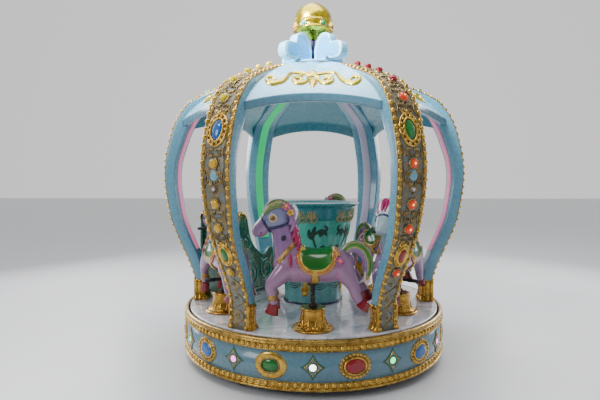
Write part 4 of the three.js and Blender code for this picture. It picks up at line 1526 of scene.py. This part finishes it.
def coat_paint():
    """The painted coat: the horse's own colours with faint clouding and rosy dots on the flank."""
    paint = Paint("horse_coat", Coat_Weight=0.6, Coat_Roughness=0.06)
    coat = paint.node("ShaderNodeAttribute", {"attribute_name": "coat"})
    local = paint.node("ShaderNodeAttribute", {"attribute_name": "place"}, output=1)
    dots = paint.node("ShaderNodeTexVoronoi", None, Vector=local, Scale=42.0) < 0.3
    heights = paint.node("ShaderNodeSeparateXYZ", None, local, output=2)
    fore = paint.node("ShaderNodeSeparateXYZ", None, local, output=0)
    flank = (heights > 0.65) * (heights < 0.755) * (fore < 0.19) * (fore > -0.19)
    shaded = paint.mix(paint.noise(12, 3) * 0.4, coat, (0.26, 0.13, 0.32))
    colour = paint.mix(dots * flank * 0.8, shaded, (0.5, 0.02, 0.2))
    return paint.done(colour, 0.18 + paint.noise(50) * 0.12, paint.noise(60, 3), 0.1, 1.5)


COAT = coat_paint()
MAGENTA = shell_paint("magenta_gloss", (0.42, 0.008, 0.12), (0.26, 0.004, 0.07))
CRIMSON = shell_paint("crimson_gloss", (0.5, 0.006, 0.07), (0.3, 0.003, 0.05))
MANE_PINK = shell_paint("mane_pink_gloss", (0.36, 0.17, 0.34), (0.26, 0.12, 0.28))
ROSE = shell_paint("rose_gloss", (0.72, 0.12, 0.3), (0.52, 0.05, 0.2))
OLIVE = shell_paint("olive_gloss", (0.19, 0.25, 0.05), (0.1, 0.16, 0.025))
LEAF_GLOSS = shell_paint("bright_leaf_gloss", (0.06, 0.3, 0.04), (0.03, 0.19, 0.02))
STRAW = shell_paint("straw_gloss", (0.48, 0.44, 0.19), (0.34, 0.3, 0.1))
LILAC = shell_paint("lilac_gloss", (0.3, 0.22, 0.42), (0.22, 0.16, 0.34))
SADDLE_GREEN = shell_paint("saddle_green_gloss", (0.006, 0.17, 0.002), (0.002, 0.08, 0.001), 0.14, 0.5)
SADDLE_GOLD = gold_paint("saddle_gold", (0.68, 0.46, 0.06), (0.4, 0.24, 0.025), 0.5)
STRAP_GOLD = gold_paint("strap_gold", (0.42, 0.24, 0.06), (0.24, 0.12, 0.02), 0.35)
ORANGE = shell_paint("orange_gloss", (0.6, 0.22, 0.05), (0.42, 0.13, 0.03))
HOOF_RED = shell_paint("hoof_red_gloss", (0.27, 0.005, 0.012), (0.15, 0.002, 0.005))
WHITE = shell_paint("white_gloss", (0.85, 0.84, 0.82), (0.75, 0.74, 0.74))
EYE_RIM = shell_paint("eye_rim_gloss", (0.82, 0.72, 0.42), (0.7, 0.56, 0.26))
BROWN = shell_paint("brown_gloss", (0.36, 0.17, 0.015), (0.2, 0.08, 0.008))
YELLOW = shell_paint("yellow_gloss", (0.9, 0.55, 0.03), (0.7, 0.38, 0.02))
PUPIL = shell_paint("pupil_gloss", (0.008, 0.006, 0.006), (0.004, 0.003, 0.003), 0.08, 1.0)


def trunk_at(x):
    """The trunk's middle height, half width and half depth at distances along it."""
    line = through(TRUNK, 8)
    return [np.interp(x, line[:, 0], line[:, k]) for k in (2, 3, 4)]


def on_trunk(corners):
    """The trunk's flank: across is an angle round it from the top, along is x."""
    z, half_width, half_depth = trunk_at(corners[:, 1])
    a = corners[:, 0]
    lift = corners[:, 2] + 2 * MM
    return np.column_stack([
        corners[:, 1], (half_width + lift) * np.sin(a), z + (half_depth + lift) * np.cos(a),
    ])


def on_flank(skin_tree, side):
    """One side of the whole horse, found along y: across is x, along is z."""
    def face(corners):
        spots = []
        for x, z, lift in corners.tolist():
            found, outward, _, _ = skin_tree.ray_cast((x, side * 0.4, z), (0, -side, 0))
            if found is None:
                found, outward, _, _ = skin_tree.find_nearest((x, side * 0.03, z))
            spots.append(found + outward * lift)
        return np.array(spots)
    return face


STRAP_SIDES = 40


def band_round(stations, share, half_width, proud, tilt):
    """A flat-topped strap round a limb at a share of its length."""
    line = through(stations, 10)
    middle = share * (len(line) - 1)
    pick, ahead = (np.array([np.interp(m, np.arange(len(line)), column) for column in line.T])
                   for m in (middle, middle + 1))
    way = unit(ahead[:3] - pick[:3])
    side = np.array([0.0, 1.0, 0.0])
    deep = np.cross(way, side)
    rows = []
    for a in angles(STRAP_SIDES):
        out = side * math.cos(a) * pick[3] + deep * math.sin(a) * pick[4]
        outward = unit(side * math.cos(a) + deep * math.sin(a))
        lean = way * tilt * math.sin(a) * pick[4]
        shape = ((-1, -3 * MM), (-0.8, proud * 0.7), (0, proud), (0.8, proud * 0.7), (1, -3 * MM))
        rows.append([pick[:3] + out + lean + outward * lift + way * over * half_width
                     for over, lift in shape])
    return skin(rows, along=True)


def petals(centre, outward, size, count=5):
    """A flower's petals as flat round limbs about its centre."""
    outward = unit(np.asarray(outward, float))
    side = unit(np.cross(outward, (0.2, 0.1, 1)))
    up = np.cross(side, outward)
    parts = []
    for k in range(count):
        a = TURN * k / count
        way = side * math.cos(a) + up * math.sin(a)
        near = np.array(centre) + way * size * 0.25
        far = np.array(centre) + way * size * 0.8 + outward * size * 0.1
        half = size * 0.36
        line = [(*near, half * 0.5, size * 0.14), (*((near + far) / 2), half, size * 0.16),
                (*far, half * 0.8, size * 0.12)]
        parts.append(limb(np.array(line), 9, 2, across=np.cross(outward, way)))
    return parts


def ball(centre, size, sides=18):
    """A small round or oval body."""
    profile = [(max(math.cos(a), 0), math.sin(a)) for a in np.linspace(-math.pi / 2, math.pi / 2, 9)]
    corners, faces = turned(profile, sides)
    return corners * np.asarray(size) + np.asarray(centre), faces


def flower(dress, middle, outward, size, finish, heart):
    """Petals round a small heart."""
    for petal in petals(middle, outward, size * MM):
        dress.add(petal, finish)
    dress.add(ball(middle + unit(outward) * 5 * MM, np.full(3, 0.32 * size * MM), 10), heart)


def make_eye(dress, face):
    """A large eye: pale rim, golden iris, dark pupil and a small highlight."""
    for reach, height, finish in ((24, 6, EYE_RIM), (18.5, 9, BROWN), (11.5, 11, PUPIL)):
        dress.lay(face, finish, dome(at((226, 980))[0], reach, reach, height, 24))
    dress.lay(face, WHITE, dome(at((231, 986))[0], 3.5, 3.5, 13, 12, 3))


def make_mane(dress):
    """Locks from the poll over the brow, and locks down the neck."""
    for side in (-1, 1):
        for k, finish in enumerate((OLIVE, STRAW, OLIVE)):
            low = 14 * k
            lock = [(140 + 6 * k, 12 + 10 * k, 1050 - low * 0.4, 18, 16),
                    (190, 14 + 13 * k, 1070 - low * 0.7, 19, 17), (238, 14 + 14 * k, 1062 - low, 17, 15),
                    (272, 12 + 12 * k, 1032 - low, 12, 11), (284, 10 + 10 * k, 1006 - low, 5, 5)]
            dress.add_limb(sided(side, lock), finish, 12, 3)
        for k in range(6):
            x, z = 134 - 8 * k, 1010 - 40 * k
            lock = [(x + 6, 14, z + 26, 18, 16), (x - 12, 32, z, 19, 16),
                    (x - 14 - k, 42, z - 36, 16, 14), (x - 2 + 2 * k, 46, z - 66, 8, 8)]
            dress.add_limb(sided(side, lock), MANE_PINK if k < 2 else (MAGENTA, CRIMSON)[k % 2], 12, 3)
        pale = [(112, 30, 1052, 6, 7), (92, 40, 1014, 8, 8), (98, 44, 974, 4, 4)]
        dress.add_limb(sided(side, pale), WHITE, 12, 3)
        for x, y, z, size, finish, heart in ((150, 62, 1046, 25, ROSE, YELLOW),
                                             (128, 60, 1012, 22, YELLOW, ORANGE)):
            middle = np.array((x, side * y, z)) * MM
            flower(dress, middle, np.array((0.05, side, 0.15)), size, finish, heart)
    crest = [(150, 0, 1050, 22, 22), (120, 0, 1010, 24, 26), (108, 0, 920, 22, 26), (92, 0, 850, 20, 24),
             (76, 0, 806, 14, 16)]
    dress.add_limb(crest[:3], MANE_PINK, 14, 4)
    dress.add_limb(crest[2:], CRIMSON, 14, 4)


TAIL = [(-178, 764), (-216, 812), (-274, 806), (-314, 748), (-320, 676), (-302, 616)]


def make_tail(dress):
    """A flat sheaf of strands that arches out from the croup and hangs."""
    line = through(np.array(TAIL, float), 4)
    way = unit(np.gradient(line, axis=0))
    outward = np.column_stack([way[:, 1], -way[:, 0]])
    outward = outward * np.sign(outward[8, 1])
    fall = np.interp(np.linspace(0, 1, len(line)), [0, 0.25, 0.8, 1], [0.55, 1, 0.85, 0.3])
    for shift, half, finish in ((21, 10, OLIVE), (7, 9, LEAF_GLOSS), (-5, 9, STRAW), (-18, 10, LILAC),
                                (-30, 8, MANE_PINK)):
        middle = line + outward * (shift * fall)[:, None]
        stations = np.column_stack([
            middle[:, 0], np.zeros(len(line)), middle[:, 1], 26 * fall, half * fall + 2,
        ]) * MM
        dress.add(limb(stations[::3], 14, 3), finish)
    lock = [(-300, 0, 668, 20, 8), (-296, 0, 626, 20, 9), (-262, 0, 598, 9, 5)]
    dress.add_limb(lock, WHITE, 14, 5)


SADDLE_MIDDLE = -22 * MM
SADDLE_HALF = 91 * MM
SADDLE_STOPS = 35
SADDLE_ROWS = 25


def saddle_reach(share):
    """How far round the trunk the saddle reaches, at a share of its half length: a deep U."""
    drop = 1 - 1.1 * np.maximum(1 - np.abs(share)**2.6, 0)**0.45
    return np.maximum(np.arccos(drop), 0.05)


def saddle_line(grow, lift, count=64):
    """A line round the saddle, grown outwards, on the trunk."""
    angle = angles(count)
    share = np.cos(angle)
    reach = saddle_reach(share) * np.sign(np.sin(angle) + 1e-9) + np.sin(angle) * grow / 0.1
    along = SADDLE_MIDDLE + (SADDLE_HALF + grow) * share
    return on_trunk(raised(np.column_stack([reach, along]), lift))


def make_saddle(dress, faces):
    """A glossy green seat in a raised gold rim, an orange border and a gold tongue under it."""
    across = np.linspace(-1, 1, SADDLE_STOPS)
    rows = []
    for share in np.linspace(-1, 1, SADDLE_ROWS):
        x = SADDLE_MIDDLE + SADDLE_HALF * share
        lift = (5 + 16 * abs(share)**2.5) * MM
        line = np.column_stack([across * saddle_reach(share), np.full(SADDLE_STOPS, x)])
        rows.append(on_trunk(np.vstack([raised(line, lift), raised(line[::-1], -6 * MM)])))
    dress.add(skin(rows), SADDLE_GREEN)
    for grow, lift, low, high, finish in ((0, 5, 6, 10, SADDLE_GOLD), (11, 0, 8, 7, ORANGE),
                                          (20, 1, 3.5, 3, SADDLE_GOLD)):
        line = saddle_line(grow * MM, lift * MM)
        share = np.cos(angles(len(line)))**2
        dress.add(loop_tube(line, (low + (high - low) * share) * MM), finish)
    for side, face in faces.items():
        for top, bottom, width, finish in ((98, 150, 19, SADDLE_GOLD), (106, 140, 11, ORANGE)):
            angle = np.radians(np.linspace(top, bottom, 5)) * side
            line = on_trunk(raised(raised(angle, SADDLE_MIDDLE + 9 * MM), 2 * MM))
            stations = raised(raised(line, width * MM), 6 * MM)
            dress.add(limb(stations, 12, 2, across=(1, 0, 0)), finish)
        for x, z, size, finish in ((-136, 776, 23, ORANGE), (-152, 742, 20, ROSE), (-122, 750, 16, ROSE)):
            middle, above = face(np.array([(x * MM, z * MM, lift * MM) for lift in (5, 15)]))
            flower(dress, middle, above - middle, size, finish, YELLOW)
        dress.add(ball(at((60, side * 46, 800))[0], np.full(3, 17 * MM)), SADDLE_GOLD)
    pommel = [(62, -56, 780, 12, 13), (68, 0, 806, 14, 15), (62, 56, 780, 12, 13)]
    cantle = [(-108, -60, 772, 11, 12), (-116, 0, 798, 13, 15), (-108, 60, 772, 11, 12)]
    for roll in (pommel, cantle):
        dress.add_limb(roll, SADDLE_GOLD, 14, 4, across=(1, 0, 0))


def loop_tube(points, radius, sides=8):
    """A closed round cord through a loop of points."""
    points = np.asarray(points, float)
    way = unit(np.roll(points, -1, 0) - np.roll(points, 1, 0))
    hub = points.mean(0)
    side = unit(np.cross(way, points - hub))
    deep = np.cross(way, side)
    reach = np.reshape(radius, (-1, 1))
    rows = []
    for a in angles(sides):
        rows.append(points + (side * math.cos(a) + deep * math.sin(a)) * reach)
    return skin(np.array(rows).transpose(1, 0, 2), along=True)


def make_tack(dress, faces):
    """Bridle, breast strap, tassel, front cuffs, hooves, nostrils, mouth and handle rod."""
    dress.add(band_round(HEAD, 0.47, 9 * MM, 5 * MM, -0.2), NAVY)
    for side, face in faces.items():
        for line, width, height, ends, finish in (
            (at((254, 921), (209, 926), (162, 941), (134, 960), (122, 976)), 19, 6, 0.9, NAVY),
            (at((106, 836), (146, 792), (180, 750), (198, 730)), 31, 7, 0.85, STRAP_GOLD),
            (at((126, 776), (127, 745), (125, 708)), 22, 12, 0.5, CRIMSON),
            (at((266, 884), (288, 878), (312, 881)), 4, 2.5, 0.4, MAGENTA),
        ):
            dress.lay(face, finish, stroke(through(line, 8), width, height, ends, ends, 0.5))
        for x, z, across, along, height, finish in (
            (296, 894, 7, 6, 4, MAGENTA), (118, 822, 8, 8, 11, SADDLE_GOLD),
            (150, 787, 8, 8, 11, SADDLE_GOLD), (182, 748, 8, 8, 11, SADDLE_GOLD),
            (166, 868, 15, 15, 8, NAVY),
        ):
            dress.lay(face, finish, dome(at((x, z))[0], across, along, height))
        make_eye(dress, face)
        cap = np.array([(166, side * 121, 868, 5.5, 5.5), (166, side * 124, 868, 5.5, 5.5)])
        dress.add(limb(cap * MM, 16, 2, across=(1, 0, 0), bulge=0.2), LILAC)
    for leg, hoof in zip(LEGS, HOOVES):
        top, sole = hoof
        way = unit(sole - top)
        up = unit(leg[-2, :3] - leg[-1, :3])
        if leg[0, 0] > 0:
            cuff = [(*(leg[-1, :3] + up * rise * MM), 29 * MM, 31 * MM) for rise in (48, 26)]
            dress.add(limb(np.array(cuff), 18, 2, bulge=0.3), STRAP_GOLD)
        foot = [(*(top + way * 2 * MM), 25 * MM, 27 * MM), (*(top * 0.4 + sole * 0.6), 30 * MM, 35 * MM),
                (*sole, 34 * MM, 41 * MM)]
        dress.add(limb(np.array(foot), 9, 2, bulge=0.12), HOOF_RED, False)
    rod = [(166, -122, 868, 9.5, 9.5), (166, 122, 868, 9.5, 9.5)]
    dress.add_limb(rod, BLACK, 16, 2, across=(1, 0, 0))


COATS = {
    "lilac": ((0.3, 0.15, 0.25), (0.29, 0.15, 0.33), (0.2, 0.24, 0.41), (0.4, 0.22, 0.38)),
    "pale": ((0.3, 0.2, 0.34), (0.2, 0.38, 0.4), (0.55, 0.7, 0.78), (0.36, 0.52, 0.54)),
}
HORSE_COATS = ("lilac", "pale", "lilac", "lilac", "lilac")
PALE_HORSE = {OLIVE: MAGENTA, STRAW: WHITE, LEAF_GLOSS: ROSE}


def make_horses():
    corners, faces = mesh_part(sculpt())
    skin_tree = BVHTree.FromPolygons(corners.tolist(), [face for block in faces for face in block.tolist()])
    flanks = {side: on_flank(skin_tree, side) for side in (-1, 1)}
    dress = Shape()
    make_mane(dress)
    make_tail(dress)
    make_saddle(dress, flanks)
    make_tack(dress, flanks)
    socket = [(0, 600), (30, 600), (30, 640), (0, 640)]
    dress.add(turned(np.array(socket) * MM, 32), STRAP_GOLD)
    beads = saddle_line(25 * MM, 0)
    for i, place in enumerate(HORSE_PLACES):
        name = f"horse_{i + 1}"
        shape = Shape().add((stand(corners, place), faces), COAT)
        mesh = shape.mesh(name + "_body", weld=0, outward=False)
        colours = coat_colours(corners, COATS[HORSE_COATS[i]])
        paint = mesh.attributes.new("coat", "FLOAT_COLOR", "POINT")
        paint.data.foreach_set("color", np.column_stack([colours, np.ones(len(colours))])
                               .astype(np.float32).ravel())
        spot = mesh.attributes.new("place", "FLOAT_VECTOR", "POINT")
        spot.data.foreach_set("vector", corners.astype(np.float32).ravel())
        piece(name + "_body", mesh, "lilac_shell", name)
        worn = stand_shape(dress, place, PALE_HORSE if HORSE_COATS[i] == "pale" else None)
        piece(name + "_dress", worn, "lilac_shell")
        beading(name + "_saddle_beads", [(stand(beads, place), True)], 18, 6, ORANGE, "lilac_shell")


# Pedestals and poles

PEDESTAL = [(0, 334.5), (116, 334.5), (121, 338), (121, 344), (116, 348), (104, 351), (94, 357),
            (85, 366), (78, 379), (74, 396), (72, 420), (71, 446), (74, 451), (75, 456), (72, 461),
            (60, 462), (0, 462)]
POLE = [(0, 462.5), (24, 462.5), (25, 466), (25, 478), (22, 484), (14, 487), (14, 584), (24, 588),
        (31, 590), (31, 599.5), (0, 599.5)]


def pedestal_radius(height):
    line = np.array(PEDESTAL[3:-4], float) * MM
    order = np.argsort(line[:, 1])
    return np.interp(height, line[order, 1], line[order, 0])


def make_stands():
    bell = Shape().add(lathed(PEDESTAL, 3, 52), BOOT_GOLD)
    face = round_face(0, pedestal_radius, arc_radius=70 * MM)
    leaf = Shape()
    leaf.lay(face, BOOT_GOLD, stroke([(0, 0.35), (0, 0.405)], 30, 4, 0.6, 0.05, 0.3, 10))
    for side in (-1, 1):
        vein = through([(side * 3 * MM, 0.353), (side * 15 * MM, 0.362), (side * 13 * MM, 0.38)], 5)
        leaf.lay(face, BOOT_GOLD, stroke(vein, 8, 4, count=9))
    leaves = grown("bell_leaves", leaf.mesh("leaf_source"), RING, Count=10, Finish=BOOT_GOLD)
    bell.add(mesh_part(leaves), BOOT_GOLD)
    pole = Shape().add(lathed(POLE, 2, 32), BLACK)
    bar = [(0, -125, 545, 10, 10), (0, 0, 545, 10, 10), (0, 125, 545, 10, 10)]
    pole.add_limb(bar, BLACK, 16, 2, across=(1, 0, 0))
    for side in (-1, 1):
        grip = [(0, side * 60, 545, 12.5, 12.5), (0, side * 118, 545, 12.5, 12.5)]
        pole.add_limb(grip, BLACK, 16, 2, across=(1, 0, 0), bulge=0.3)
    for i, place in enumerate(HORSE_PLACES):
        name = f"horse_{i + 1}"
        piece(name + "_bell", stand_shape(bell, place), "gold_paint", name + "_pedestal")
        piece(name + "_post", stand_shape(pole, place), "black_steel", name + "_pole")


# The chariot

CHARIOT_SIDE = [
    (-235, 335), (170, 335), (203, 400), (205, 520), (192, 640), (166, 660), (136, 650), (112, 626),
    (60, 612), (0, 636), (-70, 690), (-120, 770), (-146, 860), (-168, 930), (-214, 964), (-232, 950),
    (-250, 860), (-256, 700), (-250, 500),
]
CHARIOT_HALF = 190 * MM
CHARIOT_WALL = 26 * MM


def on_chariot(side):
    """One flank of the chariot: across is x, along is the height."""
    def face(corners):
        return np.column_stack([corners[:, 0], side * (CHARIOT_HALF + corners[:, 2]), corners[:, 1]])
    return face


def make_chariot():
    side = through(np.array(CHARIOT_SIDE + CHARIOT_SIDE[:1]) * MM, 5)[:-1]
    side[:, 1] = np.maximum(side[:, 1], DECK_TOP + 0.4 * MM)
    shell = Shape()
    for y in (-1, 1):
        low, high = sorted((y * CHARIOT_HALF, y * (CHARIOT_HALF - CHARIOT_WALL)))
        shell.add(upright_plate(side, low, high, 7 * MM), DARK_GREEN)
        face = on_chariot(y)
        inset = side + (side.mean(0) - side) * 0.045
        shell.lay(face, MID_GREEN, ridge(inset, 7, 5, loop=True))
        for centre, reach, start, sweep in (((-0.12, 0.47), 104, 60, -640), ((0.1, 0.49), 84, 120, 640),
                                            ((-0.17, 0.72), 62, 80, -560)):
            curl = arc(centre, reach * MM, start, sweep, 0.2, 50)
            shell.lay(face, MID_GREEN, stroke(curl, 22, 8, 0.6, 0.4, 0.3, 50))
        for line in ([(-0.2, 0.6), (-0.12, 0.58), (-0.06, 0.62)], [(0.0, 0.6), (0.05, 0.56), (0.12, 0.58)],
                     [(-0.19, 0.8), (-0.17, 0.86), (-0.2, 0.92)]):
            shell.lay(face, MID_GREEN, stroke(through(line, 6), 22, 7))
        tip = through([(-0.236, 0.86), (-0.243, 0.92), (-0.214, 0.95), (-0.172, 0.925), (-0.19, 0.9)], 6)
        shell.lay(face, GOLD, stroke(tip, 24, 9, 0.3, 0.7, 0.6, 24))
    span = CHARIOT_HALF - 12 * MM
    for low, high in (((-0.235, 0.3348), (0.165, 0.358)), ((-0.238, 0.336), (-0.21, 0.93)),
                      ((0.152, 0.336), (0.182, 0.606))):
        box = eased([(low[0], low[1]), (high[0], low[1]), (high[0], high[1]), (low[0], high[1])], 8 * MM, 3,
                    True)
        shell.add(upright_plate(box, -span, span, 3 * MM), DARK_GREEN)
    roll = [(-224, -178, 934, 22, 22), (-224, 0, 952, 24, 24), (-224, 178, 934, 22, 22)]
    shell.add_limb(roll, GOLD, 20, 6, across=(1, 0, 0), bulge=0.4)
    piece("chariot_body", stand_shape(shell, CHARIOT_PLACE), "dark_green_shell", "chariot_shell")
    box = eased([(-0.2085, 0.36), (-0.02, 0.36), (-0.02, 0.558), (-0.2085, 0.552)], 20 * MM, 5, True)
    span = CHARIOT_HALF - CHARIOT_WALL - 1 * MM
    bench = Shape().add(upright_plate(box, -span, span, 12 * MM), MID_GREEN)
    piece("chariot_seat", stand_shape(bench, CHARIOT_PLACE), "dark_green_shell", "chariot_bench")


# Floor, light and camera


def make_floor():
    bpy.ops.mesh.primitive_plane_add(size=60, location=(0, 0, 0))
    floor = bpy.context.object
    floor.name = "floor"
    paint = Paint("pale_floor")
    paint.set("Base Color", paint.mix(paint.noise(1.5), (0.72, 0.73, 0.76), (0.78, 0.79, 0.81)))
    paint.set("Roughness", 0.3 + paint.noise(3) * 0.1)
    floor.data.materials.append(paint.material)


def make_light(name, place, size, power, aim=(0, 0, 1.2), spread=180):
    data = bpy.data.lights.new(name, "AREA")
    data.energy = power
    data.size = size
    data.spread = math.radians(spread)
    thing = placed(name, data)
    thing.location = place
    way = np.array(aim) - np.array(place)
    thing.rotation_euler = (math.atan2(math.hypot(way[0], way[1]), -way[2]), 0,
                            math.atan2(way[1], way[0]) - math.pi / 2)


def make_world():
    world = bpy.data.worlds.new("studio")
    bpy.context.scene.world = world
    world.use_nodes = True
    tree = world.node_tree
    place = tree.nodes.new("ShaderNodeTexCoord")
    height = tree.nodes.new("ShaderNodeSeparateXYZ")
    share = tree.nodes.new("ShaderNodeMapRange")
    share.inputs["From Min"].default_value = -1
    ramp = tree.nodes.new("ShaderNodeValToRGB")
    tree.links.new(place.outputs["Generated"], height.inputs[0])
    tree.links.new(height.outputs["Y"], share.inputs["Value"])
    tree.links.new(share.outputs["Result"], ramp.inputs[0])
    tree.links.new(ramp.outputs[0], tree.nodes["Background"].inputs["Color"])
    ramp.color_ramp.elements[0].color = (0.2, 0.215, 0.235, 1)
    ramp.color_ramp.elements[1].color = (1.0, 1.0, 1.0, 1)
    tree.nodes["Background"].inputs["Strength"].default_value = 0.95


PHOTO_WIDTH = 600
SENSOR_WIDTH = 36
FOCAL_PIXELS = 465
CAMERA_PLACE = (0.0, -3.383, 1.185)
CAMERA_DOWN = 2.23
CAMERA_LEFT = 1.6


def make_camera():
    data = bpy.data.cameras.new("camera")
    data.sensor_width = SENSOR_WIDTH
    data.lens = FOCAL_PIXELS / PHOTO_WIDTH * SENSOR_WIDTH
    camera = placed("camera", data)
    camera.location = CAMERA_PLACE
    camera.rotation_euler = (math.radians(90 - CAMERA_DOWN), 0, math.radians(CAMERA_LEFT))
    bpy.context.scene.camera = camera


make_camera()
make_floor()
make_world()
make_light("overhead", (-0.3, -0.3, 4.2), 2.6, 115)
make_light("crown", (-1.5, -1.7, 3.5), 0.9, 34, (0, 0, 2.15), 45)
make_light("front_left", (-3.4, -3.4, 2.6), 1.8, 66)
make_light("front_right", (3.6, -3.0, 2.0), 2.4, 9)
make_light("back_left", (-3.4, 2.4, 2.6), 2.6, 150)
make_light("back_right", (3.4, 2.6, 2.6), 2.6, 110)

for node, finish in (("base_chassis", STEEL), ("finial_post", NAVY)):
    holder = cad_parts[node]
    holder.data.materials.clear()
    holder.data.materials.append(finish)

make_base()
make_deck()
make_ribs()
make_roof()
make_finial()
make_barrel()
make_horses()
make_stands()
make_chariot()
